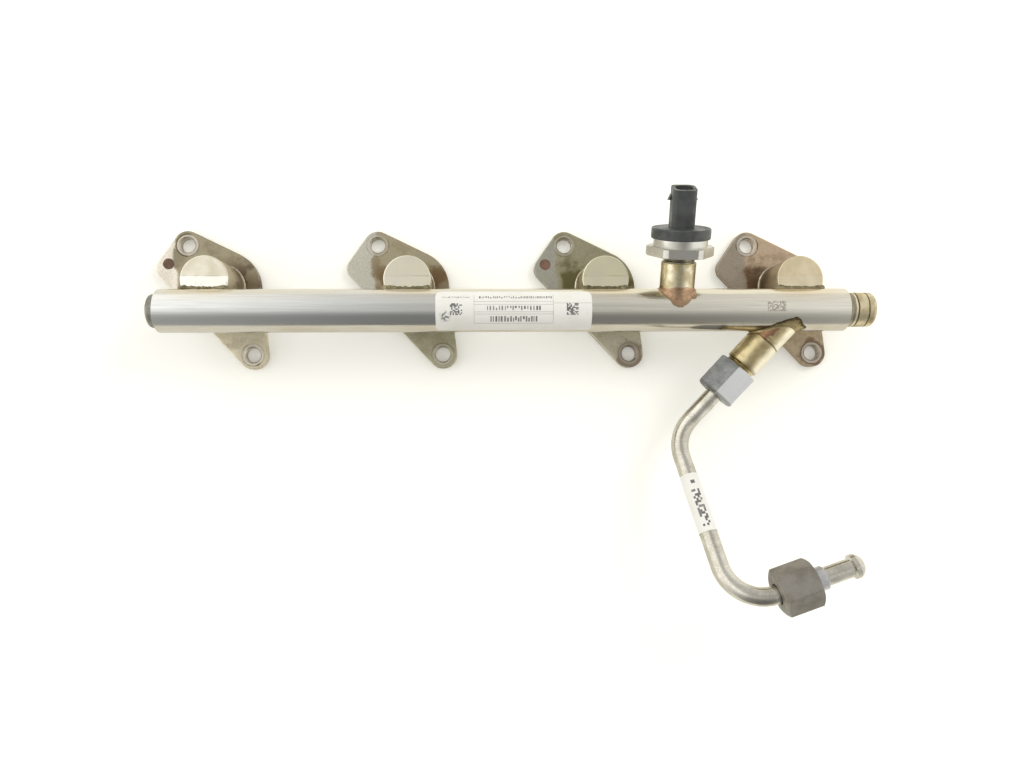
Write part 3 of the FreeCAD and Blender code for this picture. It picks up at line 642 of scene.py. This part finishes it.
bossStains = [
    (10 * mm, 19.2 * mm, srgb(136, 103, 80), 1.4, 0.2 * mm),
    (19.2 * mm, 19.6 * mm, srgb(84, 68, 46), 0.8, None),
    (17.6 * mm, 17.9 * mm, srgb(110, 90, 62), 0.6, -2.0 * mm),
    (33.2 * mm, 34.1 * mm, srgb(120, 104, 70), 0.4, None),
]
sensorStains = [
    (9 * mm, 11.4 * mm, srgb(176, 132, 98), 0.8, None),
    (21.2 * mm, 22.2 * mm, srgb(176, 160, 112), 0.5, None),
]
fittingStart = Vector((tubeHigh.x, tubeY, tubeZ))
fittingStains = [
    (2.75 * mm, 3.05 * mm, srgb(88, 70, 40), 0.85, None),
    (7.5 * mm, 7.85 * mm, srgb(96, 76, 44), 0.85, None),
]
metals = {
    # material's name, light and dark colour, roughness of each, size and height of the grain in mm
    "plug": ("plugSteel", (154, 152, 143), (118, 116, 108), (0.40, 0.55), 0.6, 0.02),
    "copper": ("copperBraze", (186, 155, 124), (138, 110, 84), (0.32, 0.5), 0.7, 0.05),
    "bead": ("darkBraze", (148, 140, 110), (98, 90, 66), (0.36, 0.58), 0.7, 0.06),
    "inletBraze": ("inletBrazeMetal", (180, 164, 120), (124, 108, 74), (0.32, 0.5), 0.9, 0.05),
    "endBraze": ("endBraze", (172, 166, 142), (124, 117, 97), (0.34, 0.5), 0.5, 0.05),
    "foot": ("footBraze", (224, 217, 196), (160, 148, 120), (0.26, 0.42), 0.6, 0.03),
    "nutLight": ("nutZinc", (154, 156, 155), (112, 114, 113), (0.38, 0.52), 0.5, 0.06),
    "nutDark": ("nutDarkZinc", (152, 147, 138), (128, 122, 112), (0.50, 0.62), 0.45, 0.035),
    "sleeve": ("sleeveZinc", (206, 205, 202), (164, 163, 164), (0.30, 0.46), 0.5, 0.02),
    "pipe": ("pipeSteel", (208, 204, 192), (170, 165, 150), (0.16, 0.28), 0.6, 0.01),
    "hex": ("sensorHexSteel", (214, 212, 204), (182, 179, 168), (0.28, 0.40), 0.4, 0.02),
    "contact": ("contactMetal", (210, 200, 170), (180, 170, 140), (0.25, 0.35), 0.3, 0.01),
    "collar": ("collarSteel", (176, 170, 150), (84, 80, 68), (0.22, 0.4), 0.5, 0.03),
}
plastics = {
    "plastic": ("sensorPlastic", (68, 70, 68), (54, 56, 54), (0.32, 0.50), 0.45, 0.12),
    "ink": ("labelInk", (96, 96, 94), (132, 132, 128), (0.5, 0.6), 0.2, 0.005),
    "paint": ("dotPaint", (124, 92, 74), (98, 74, 56), (0.5, 0.65), 0.5, 0.08),
}
extras = {
    "copper": {"rimColour": srgb(150, 130, 102)},
    "inletBraze": {"rimColour": srgb(84, 70, 46)},
    # painted highlight on the end braze's ridge
    "endBraze": {"rimColour": srgb(232, 222, 192)},
    # rail nut: its end painted darker as painted shade, its right upper flat painted lighter as a painted
    # highlight
    "nutLight": {"shadeEnd": (inletStart, inletAxis, railNutEnd),
                 "paintedHighlightSide": (inletStart, -inletLeft, railNutEdge - 0.3 * mm, railNutEdge + 0.3 * mm,
                              srgb(230, 231, 228))},
}
finish = {
    "tube": tubeMaterial(),
    "fitting": plateMaterial("fittingPlate", fittingStart, Vector((1, 0, 0)), srgb(206, 195, 162),
                             srgb(168, 153, 116), fittingStains),
    "inlet": plateMaterial("inletPlate", inletStart, inletAxis, srgb(192, 177, 136),
                           srgb(156, 140, 101), bossStains, highlightColour=srgb(238, 231, 206)),
    "sensorBoss": plateMaterial("sensorPlate", sensorStart, sensorAxis, srgb(222, 214, 186),
                                srgb(184, 171, 134), sensorStains),
    "label": labelMaterial("labelPaper", 0.5),
}
for table, makeMaterial in ((metals, metalMaterial), (plastics, plasticMaterial)):
    for key, (name, light, dark, roughness, grain, bump) in table.items():
        finish[key] = makeMaterial(name, srgb(*light), srgb(*dark), roughness, grain * mm, bump * mm,
                                   **extras.get(key, {}))
print("finishes made:", len(finish))


# Finishes of the pieces that come from the frame

for number, look in enumerate(cupLook["cups"], start=1):
    dress(f"injector_cup_{number}", cupMaterial(number, look))
    dress(f"bracket_{number}", bracketMaterial(number, bracketLook["patches"][number - 1]))
frameFinishes = {
    "rail_tube": "tube", "rail_end_plug": "plug", "rail_end_fitting": "fitting", "rail_label": "label",
    "sensor_boss": "sensorBoss", "sensor_body": "hex", "sensor_connector_housing": "plastic",
    "sensor_pins": "contact", "rail_union_nut": "nutLight", "rail_thrust_sleeve": "sleeve",
    "fuel_pipe": "pipe", "pipe_label": "label", "pump_union_nut": "nutDark", "pump_thrust_sleeve": "sleeve",
}
for nodeName, key in frameFinishes.items():
    dress(nodeName, finish[key])
print("frame pieces dressed")


# Braze beads round the injector cups

cupBead = {"radius": 1.15 * mm, "cornerRadius": 1.75 * mm, "steps": 60}
footBead = {"radius": 0.62, "uneven": 0.25, "steps": 160, "sides": 10}      # the first two in mm


def cupBeadPath(cup, cupTop):
    # along the tube over the cup's top, then down both sides under the tube
    rearY = tubeY + math.sqrt(max(tubeRadius ** 2 - (cupTop - tubeZ) ** 2, 0))
    width = math.sqrt(cupRadius ** 2 - rearY ** 2)
    steps = cupBead["steps"]
    places = []
    for step in range(steps):
        share = step / steps
        places.append((Vector((width * (2 * share - 1), rearY, cupTop)), 1 - min(share, 1 - share) * 2))
    startTurn = math.asin(rearY / cupRadius)
    for side, order in ((1, range(steps)), (-1, reversed(range(steps)))):
        for step in order:
            turn = startTurn + (-math.pi / 2 - startTurn) * (step + 0.5) / steps
            y = cupRadius * math.sin(turn)
            z = tubeZ - math.sqrt(max(tubeRadius ** 2 - (y - tubeY) ** 2, 0))
            corner = max(0.0, 1 - 2.5 * step / steps)
            places.append((Vector((side * cupRadius * math.cos(turn), y, z)), corner))
    path, radii = [], []
    for place, corner in places:
        away = Vector((0, place.y - tubeY, place.z - tubeZ)).normalized()
        path.append((place + Vector((cup.x, 0, 0)), away))
        radii.append(cupBead["radius"] + (cupBead["cornerRadius"] - cupBead["radius"]) * corner ** 3)
    return path, radii


for number, (cup, cupBox) in enumerate(zip(cupPlaces, cupBoxes), start=1):
    path, radii = cupBeadPath(cup, cupBox[1].z)
    bead = beadMesh(f"cup_bead_{number}", path, radii, seed=number, roughness=0.42)
    finishPiece(bead, finish["bead"], "rail", [f"cup_braze_{number}"])

    footPath, footRadii = [], []
    for step in range(footBead["steps"]):
        turn = 2 * math.pi * step / footBead["steps"]
        way = Vector((math.cos(turn), math.sin(turn), 0))
        spot = cup + way * (cupRadius + 0.1 * mm) + up * (plateTop + 0.05 * mm)
        footPath.append((spot, (way + up).normalized()))
        uneven = footBead["uneven"] * wobble(way * 9 * mm, 4 * mm, number + 20)
        footRadii.append((footBead["radius"] + uneven) * mm)
    foot = beadMesh(f"foot_bead_{number}", footPath, footRadii, seed=number + 30,
                    roughness=0.2, sides=footBead["sides"])
    finishPiece(foot, finish["foot"], "rail", [f"bracket_braze_{number}"])
print("cup beads made")


# Inlet boss with its thread, and the braze that climbs onto it

def threadDepth(turn, reach, pitch, depth):
    # rounded groove of a thread, 0 on the crest
    share = (reach / pitch - turn / (2 * math.pi)) % 1
    return depth * (0.5 - 0.5 * math.cos(2 * math.pi * share)) ** 0.8


def makeInletBoss(shape):
    threadLength = shape["end"] - shape["shoulder"]
    threadSteps = int(threadLength / shape["threadPitch"] * 12)
    rows = [(radius, None) for radius in (*shape["hiddenRings"], shape["radius"])]
    bodyEnd = shape["shoulder"] - shape["shoulderRound"]
    rows += [(shape["radius"], reach) for reach in (*shape["bodyRings"], bodyEnd)]
    for step in range(1, 6):
        angle = math.pi / 2 * step / 5
        rows.append((shape["radius"] - shape["shoulderRound"] * (1 - math.cos(angle)),
                     bodyEnd + shape["shoulderRound"] * math.sin(angle)))
    threadFirst = len(rows)
    for step in range(threadSteps + 1):
        rows.append((shape["threadRadius"], shape["shoulder"] + threadLength * step / threadSteps))
    seat = shape["end"] - shape["seatDepth"]
    rows += [(shape["mouthRadius"], shape["end"]), (shape["portRadius"], seat),
             (0.02 * mm, seat - 0.5 * mm)]
    rings = []
    for row, (radius, reach) in enumerate(rows):
        ring = []
        for turn, outward in turnsRound(inletAxis, shape["sides"]):
            actual = radius
            if threadFirst <= row <= threadFirst + threadSteps:
                groove = threadDepth(turn, reach, shape["threadPitch"], shape["threadDepth"])
                bevel = max(0.0, reach - (shape["end"] - shape["endBevel"]))
                actual = min(radius - groove, radius - bevel)
            distance = reach
            if reach is None:
                distance = tubeCrossing(inletStart, inletAxis, outward * radius, tubeRadius) - 0.3 * mm
            ring.append(inletStart + inletAxis * distance + outward * actual)
        rings.append(ring)
    return ringMesh("inlet_boss_turned", rings, sharpAngle=34)


finishPiece(makeInletBoss(inletBoss), finish["inlet"], "rail", ["inlet_boss"])

inletFillet = {
    "climb": 1.6 * mm,
    "climbMore": (0.5, 60, 50),        # share, and where round the boss and how wide in degrees
    "spread": 1.3 * mm,
    "runs": (                          # how much further it has run, where round the boss, how wide
        (2.6 * mm, 335.0, 32),
        (2.4 * mm, 303.0, 9),
        (1.0 * mm, 343.0, 7),
    ),
}


def bulge(turn, centre, width):
    away = abs((turn - centre + 180) % 360 - 180)
    return math.exp(-(away / width) ** 2)


def spreadAt(turn, shape):
    spread = shape["spread"]
    for further, centre, width in shape["runs"]:
        spread += further * bulge(turn, centre, width)
    return spread


def inletClimb(turn, crossing):
    share, centre, width = inletFillet["climbMore"]
    return crossing + inletFillet["climb"] * (1 + share * bulge(turn, centre, width))


inletBead = filletMesh("inlet_braze_run", inletStart, inletAxis, inletBoss["radius"], inletClimb,
                       lambda turn: spreadAt(turn, inletFillet), seed=5)
finishPiece(inletBead, finish["inletBraze"], "rail", ["inlet_boss_braze"])
print("inlet boss made")


# Copper that has run from the sensor's boss down onto the tube

sensorBoss = {
    "radius": 7.7 * mm,
    "copperTop": 10.6 * mm,
    "copperWave": 0.25 * mm,
    "spread": 0.9 * mm,
    "runs": ((2.4 * mm, 0, 26), (1.7 * mm, 47, 9), (0.5 * mm, 310, 12)),
    "reach": 22.3 * mm,
    "collarEnd": 25.1 * mm,
    "collarRadius": 6.6 * mm,
    "collarPitch": 1.0 * mm,
    "collarDepth": 0.42 * mm,
}


def sensorClimb(turn, crossing):
    return sensorBoss["copperTop"] + sensorBoss["copperWave"] * math.sin(math.radians(turn * 5))


sensorSaddle = filletMesh("sensor_copper_run", sensorStart, sensorAxis, sensorBoss["radius"], sensorClimb,
                          lambda turn: spreadAt(turn, sensorBoss), seed=9)
finishPiece(sensorSaddle, finish["copper"], "rail", ["sensor_boss_braze"])


def threadRing(name, start, axis, wall, pitch, depth, first, last, inward=False, around=96):
    # helical ridges on a wall, as one closed sleeve
    sign = -1 if inward else 1
    steps = max(8, int((last - first) / pitch * 12))
    rings = []
    back = wall - sign * 0.25 * mm
    for step in range(-1, steps + 2):
        reach = first + (last - first) * min(max(step, 0), steps) / steps
        ring = []
        for turn, outward in turnsRound(axis, around):
            ends = min(1.0, (reach - first) / (0.4 * pitch), (last - reach) / (0.4 * pitch))
            ridge = (depth - threadDepth(turn, reach, pitch, depth)) * max(ends, 0.0)
            radius = back if step in (-1, steps + 1) else wall + sign * (0.01 * mm + ridge)
            ring.append(start + axis * reach + outward * radius)
        rings.append(ring)
    return ringMesh(name, rings, closedLong=True, sharpAngle=60)


collar = threadRing("sensor_collar_thread", sensorStart, sensorAxis, sensorBoss["collarRadius"],
                    sensorBoss["collarPitch"], sensorBoss["collarDepth"],
                    sensorBoss["reach"] + 0.15 * mm, sensorBoss["collarEnd"] - 0.1 * mm)
finishPiece(collar, finish["collar"], "rail")

pumpNut = {
    "length": 16.4 * mm,
    "threadWall": 7.1 * mm,
    "threadPitch": 1.5 * mm,
    "threadDepth": 0.7 * mm,
    "threadFirst": 4.6 * mm,
    "threadShort": 0.9 * mm,       # how far before the mouth it ends
}
nutStart = Vector(joints["pump_nut_turn"]["pos_m"]) - pumpAxis * pumpNut["length"] / 2
nutThread = threadRing("pump_nut_thread", nutStart, pumpAxis, pumpNut["threadWall"],
                       pumpNut["threadPitch"], pumpNut["threadDepth"], pumpNut["threadFirst"],
                       pumpNut["length"] - pumpNut["threadShort"], inward=True)
finishPiece(nutThread, finish["nutDark"], "pump_nut")
print("threads made")


# Braze round the neck of the right end's fitting, with a painted highlight along its wavy ridge

endBraze = {"inner": 6.8 * mm, "outer": 7.65 * mm, "length": 2.2 * mm, "line": 1.85 * mm, "steps": 180}


def makeEndBraze(shape):
    rings = []
    outer, length = shape["outer"], shape["length"]
    for number in range(shape["steps"]):
        turn = 2 * math.pi * number / shape["steps"]
        outward = Vector((0, math.cos(turn), math.sin(turn)))
        wave = 0.35 * mm * wobble(outward * 7 * mm, 3.2 * mm, 41)
        profile = [(0.0, shape["inner"]), (0.02 * mm, outer - 0.1 * mm), (0.7 * mm, outer - 0.28 * mm),
                   (1.4 * mm + wave, outer - 0.2 * mm), (shape["line"] + wave, outer + 0.24 * mm),
                   (length + 0.12 * mm + 0.4 * wave, outer + 0.22 * mm),
                   (length + 0.15 * mm, shape["inner"])]
        ring = [fittingStart + Vector((reach, 0, 0)) + outward * radius for reach, radius in profile]
        rings.append(ring)
    # rim values put a painted highlight on the ridge's crest
    rims = [(0, 0, 0, 0.3, 1, 0.9, 0)] * len(rings)
    return ringMesh("end_braze_ring", rings, closedLong=True, sharpAngle=60, rims=rims)


finishPiece(makeEndBraze(endBraze), finish["endBraze"], "rail", ["end_fitting_braze"])


# Paint dots on the first and third brackets

paintDot = {
    "places": {1: (-25.04 * mm, 11.27 * mm), 3: (154.4 * mm, 11.04 * mm)},     # by bracket
    "radius": 2.6 * mm,
    "thickness": 0.09 * mm,
}


def makePaintDot(number, place):
    centre = Vector((*place, plateTop))
    rings = []
    for share, lift in ((1.0, -0.1), (1.02, 0.35), (0.9, 0.85), (0.6, 1.0), (0.3, 0.95), (0.02, 0.95)):
        ring = []
        for step in range(72):
            turn = 2 * math.pi * step / 72
            way = Vector((math.cos(turn), math.sin(turn), 0))
            uneven = 1 + 0.05 * wobble(way * 3 * mm, 1.5 * mm, number + 60)
            reach = paintDot["radius"] * share * uneven
            ring.append(centre + way * reach + up * paintDot["thickness"] * lift)
        rings.append(ring)
    return ringMesh(f"paint_dot_{number}", rings, sharpAngle=60)


for number, place in paintDot["places"].items():
    finishPiece(makePaintDot(number, place), finish["paint"], "rail")
print("beads, threads and dots made")


# Print on the labels: plain bars and blocks

def printPatch(points, faces, corners, wrap, thickness=0.02 * mm, cuts=6):
    # one bar bent round a cylinder; corners are (from, to) along it and (from, to) round it in degrees
    (first, last), (turnFirst, turnLast) = corners
    base = len(points)
    for layer in (0.0, thickness):
        for cut in range(cuts + 1):
            turn = turnFirst + (turnLast - turnFirst) * cut / cuts
            points.append(wrap(first, turn, layer))
            points.append(wrap(last, turn, layer))
    top = base + 2 * (cuts + 1)
    for cut in range(cuts):
        a, b = base + 2 * cut, top + 2 * cut
        faces.append((a, a + 1, a + 3, a + 2))
        faces.append((b, b + 2, b + 3, b + 1))
        faces.append((a, a + 2, b + 2, b))
        faces.append((a + 1, b + 1, b + 3, a + 3))
    faces.append((base, top, top + 1, base + 1))
    lastRow, topRow = base + 2 * cuts, top + 2 * cuts
    faces.append((lastRow, lastRow + 1, topRow + 1, topRow))


railPrint = {
    "radius": 0.22 * mm,        # of the print over the tube's surface
    "rows": (                   # from, to along the rail; from, to round the tube; bar width, gap, seed
        (106.4, 118.2, 29.5, 26.5, 0.5, 0.25, 1),
        (122.4, 154.6, 31.0, 24.5, 0.55, 0.50, 2),
        (125.9, 149.5, 4.2, -6.8, 0.62, 0.62, 3),
        (127.4, 148.0, -22.0, -37.0, 0.66, 0.56, 4),
    ),
    "lines": (                  # frame lines along the rail
        (120.2, 155.1, 15.8), (120.2, 155.1, 8.0), (120.2, 155.1, -11.1), (120.2, 155.1, -16.6),
        (120.2, 155.1, -42.0), (155.1, 172.0, 11.5),
    ),
    "uprights": ((120.2, 36.0, -42.0), (155.1, 36.0, -42.0)),
    "squares": ((109.6, 115.0), (161.0, 166.2)),
    "squareTurns": (11.1, -19.1),
    "cells": 9,
}


def railWrap(along, turn, lift):
    angle = math.radians(turn)
    away = Vector((0, math.sin(angle), math.cos(angle)))
    return Vector((along, tubeY, tubeZ)) + away * (tubeRadius + railPrint["radius"] + lift)


def makeRailPrint(shape):
    points, faces = [], []
    for first, last, high, low, width, gap, seed in shape["rows"]:
        dice = random.Random(seed)
        here = first
        while here < last:
            size = width * dice.uniform(0.5, 1.3)
            cut = dice.choice((0.0, 0.0, 0.25, 0.45))
            rise = (high - low) * cut
            turns = (high - rise, low) if dice.random() < 0.5 else (high, low + rise)
            along = (here * mm, min(here + size, last) * mm)
            printPatch(points, faces, (along, turns), railWrap)
            here += size + gap * dice.uniform(0.7, 1.4)
    for first, last, turn in shape["lines"]:
        printPatch(points, faces, ((first * mm, last * mm), (turn + 0.3, turn - 0.3)), railWrap, cuts=1)
    for place, high, low in shape["uprights"]:
        along = ((place - 0.05) * mm, (place + 0.05) * mm)
        printPatch(points, faces, (along, (high, low)), railWrap, cuts=16)
    for number, (first, last) in enumerate(shape["squares"]):
        dice = random.Random(70 + number)
        high, low = shape["squareTurns"]
        size, step = (last - first) / shape["cells"], (high - low) / shape["cells"]
        for row in range(shape["cells"]):
            for column in range(shape["cells"]):
                if dice.random() < 0.55:
                    along = ((first + column * size) * mm, (first + (column + 1) * size) * mm)
                    turns = (high - row * step, high - (row + 1) * step)
                    printPatch(points, faces, (along, turns), railWrap, cuts=1)
    return showMesh("rail_label_print", points, faces)


pipePrint = {
    "radius": 0.22 * mm,        # of the print over the pipe's surface
    "start": 28.4,              # along the pipe from its first corner, in mm
    "end": 45.6,
    "turns": (28.0, -22.0),
    "cells": (16, 4),
    "dash": (24.0, 25.6),
}


def pipeWrap(along, turn, lift):
    upward, across = sidesOf(pipeAxis)
    angle = math.radians(turn)
    away = upward * math.cos(angle) + across * math.sin(angle)
    return pipeCorner + pipeAxis * along + away * (pipeRun["radius"] + pipePrint["radius"] + lift)


def makePipePrint(shape):
    points, faces = [], []
    dice = random.Random(91)
    long, wide = shape["cells"]
    size = (shape["end"] - shape["start"]) / long
    high, low = shape["turns"]
    step = (high - low) / wide
    for column in range(long):
        for row in range(wide):
            if dice.random() < 0.62:
                along = shape["start"] + column * size
                turns = (high - row * step, high - (row + 1) * step)
                printPatch(points, faces, ((along * mm, (along + size) * mm), turns), pipeWrap, cuts=2)
    first, last = shape["dash"]
    printPatch(points, faces, ((first * mm, last * mm), (high * 0.5, low * 0.5)), pipeWrap, cuts=4)
    return showMesh("pipe_label_print", points, faces)


finishPiece(makeRailPrint(railPrint), finish["ink"], "rail")
finishPiece(makePipePrint(pipePrint), finish["ink"], "rail")
print("labels printed")


# Floor, light and camera

floorLook = {
    "size": 3.0,
    "colour": srgb(246, 244, 233),
    "glow": 0.19,                  # added where the camera sees it
    "mirrored": 0.16,              # added where metal mirrors it
    "drop": 0.2 * mm,              # under the brackets
}


def makeFloor(look):
    half = look["size"] / 2
    corners = [(-half, -half, 0), (half, -half, 0), (half, half, 0), (-half, half, 0)]
    floor = showMesh("floor", corners, [(0, 1, 2, 3)])
    floor.location = (cupPlaces[1].x + 50 * mm, 0, -look["drop"])
    material = bpy.data.materials.new("paleFloor")
    material.use_nodes = True
    tree = material.node_tree
    tree.nodes.clear()
    diffuse = addNode(tree, "ShaderNodeBsdfDiffuse", {"Color": look["colour"]})
    rays = addNode(tree, "ShaderNodeLightPath")
    seen = product(tree, rays.outputs["Is Camera Ray"], look["glow"])
    mirrored = product(tree, rays.outputs["Is Glossy Ray"], look["mirrored"])
    strength = total(tree, seen, mirrored)
    glow = addNode(tree, "ShaderNodeEmission", {"Color": (1, 1, 1, 1), "Strength": strength})
    both = addNode(tree, "ShaderNodeAddShader", {0: diffuse.outputs[0], 1: glow.outputs[0]})
    output = addNode(tree, "ShaderNodeOutputMaterial")
    tree.links.new(both.outputs[0], output.inputs["Surface"])
    floor.data.materials.append(material)


skyLook = {
    "level": 0.76,
    # brighter and darker parts of the room: direction, cosine where it starts and is full, change
    "parts": (
        ((-1.0, 0.0, 0.0), 0.02, 0.55, 0.95),
        ((1.0, 0.0, 0.0), 0.15, 0.75, 0.52),
        ((0.72, -0.52, 0.46), 0.86, 0.99, 0.20),
        ((0.02, 0.26, 1.0), 0.925, 0.995, -0.20),
    ),
    # the dark part in front, as a share of the light there
    "front": ((-0.12, -1.0, 0.61), 0.43, 0.97, 0.70),
}


def makeSky(look):
    world = bpy.data.worlds.new("room")
    bpy.context.scene.world = world
    world.use_nodes = True
    tree = world.node_tree
    tree.nodes.clear()
    way = addNode(tree, "ShaderNodeTexCoord").outputs["Generated"]

    def partOf(heading, low, high, start, end):
        facing = vectorStep(tree, "DOT_PRODUCT", way, tuple(Vector(heading).normalized()))["Value"]
        return ramp(tree, facing, low, high, start, end)

    level = look["level"]
    for heading, low, high, change in look["parts"]:
        level = total(tree, level, partOf(heading, low, high, 0.0, change))
    heading, low, high, share = look["front"]
    level = product(tree, level, partOf(heading, low, high, 1.0, 1.0 - share))
    rays = addNode(tree, "ShaderNodeLightPath")
    level = ramp(tree, rays.outputs["Is Camera Ray"], 0.0, 1.0, level, 1.0)
    sky = addNode(tree, "ShaderNodeBackground", {"Color": (1, 1, 1, 1), "Strength": level})
    output = addNode(tree, "ShaderNodeOutputWorld")
    tree.links.new(sky.outputs[0], output.inputs["Surface"])


lamp = {"place": (0.78, 0.45, 0.78), "aim": (0.15, -0.03, 0.02), "size": 0.45, "power": 2.4}


def makeLamp(look):
    data = bpy.data.lights.new("softLamp", "AREA")
    data.shape = "DISK"
    data.size = look["size"]
    data.energy = look["power"]
    lampObject = bpy.data.objects.new("softLamp", data)
    lampObject.location = look["place"]
    aim = Vector(look["aim"]) - Vector(look["place"])
    lampObject.rotation_euler = aim.to_track_quat("-Z", "Y").to_euler()
    lampObject.visible_glossy = False
    bpy.context.scene.collection.objects.link(lampObject)


cameraLook = {
    "place": (0.123028, -0.060147, 0.373618),
    "turn": (2.0825, -2.3002, -0.4093),
    "focalPixels": 769,
    "imageWidth": 1024,
    "sensor": 36.0,
}


def makeCamera(look):
    data = bpy.data.cameras.new("camera")
    data.sensor_width = look["sensor"]
    data.lens = look["focalPixels"] / look["imageWidth"] * look["sensor"]
    data.clip_start = 0.01
    camera = bpy.data.objects.new("camera", data)
    camera.location = look["place"]
    camera.rotation_euler = Euler([math.radians(angle) for angle in look["turn"]], "XYZ")
    bpy.context.scene.collection.objects.link(camera)
    bpy.context.scene.camera = camera


makeFloor(floorLook)
makeSky(skyLook)
makeLamp(lamp)
makeCamera(cameraLook)
bpy.context.scene.view_settings.view_transform = "Standard"
print("stage set")
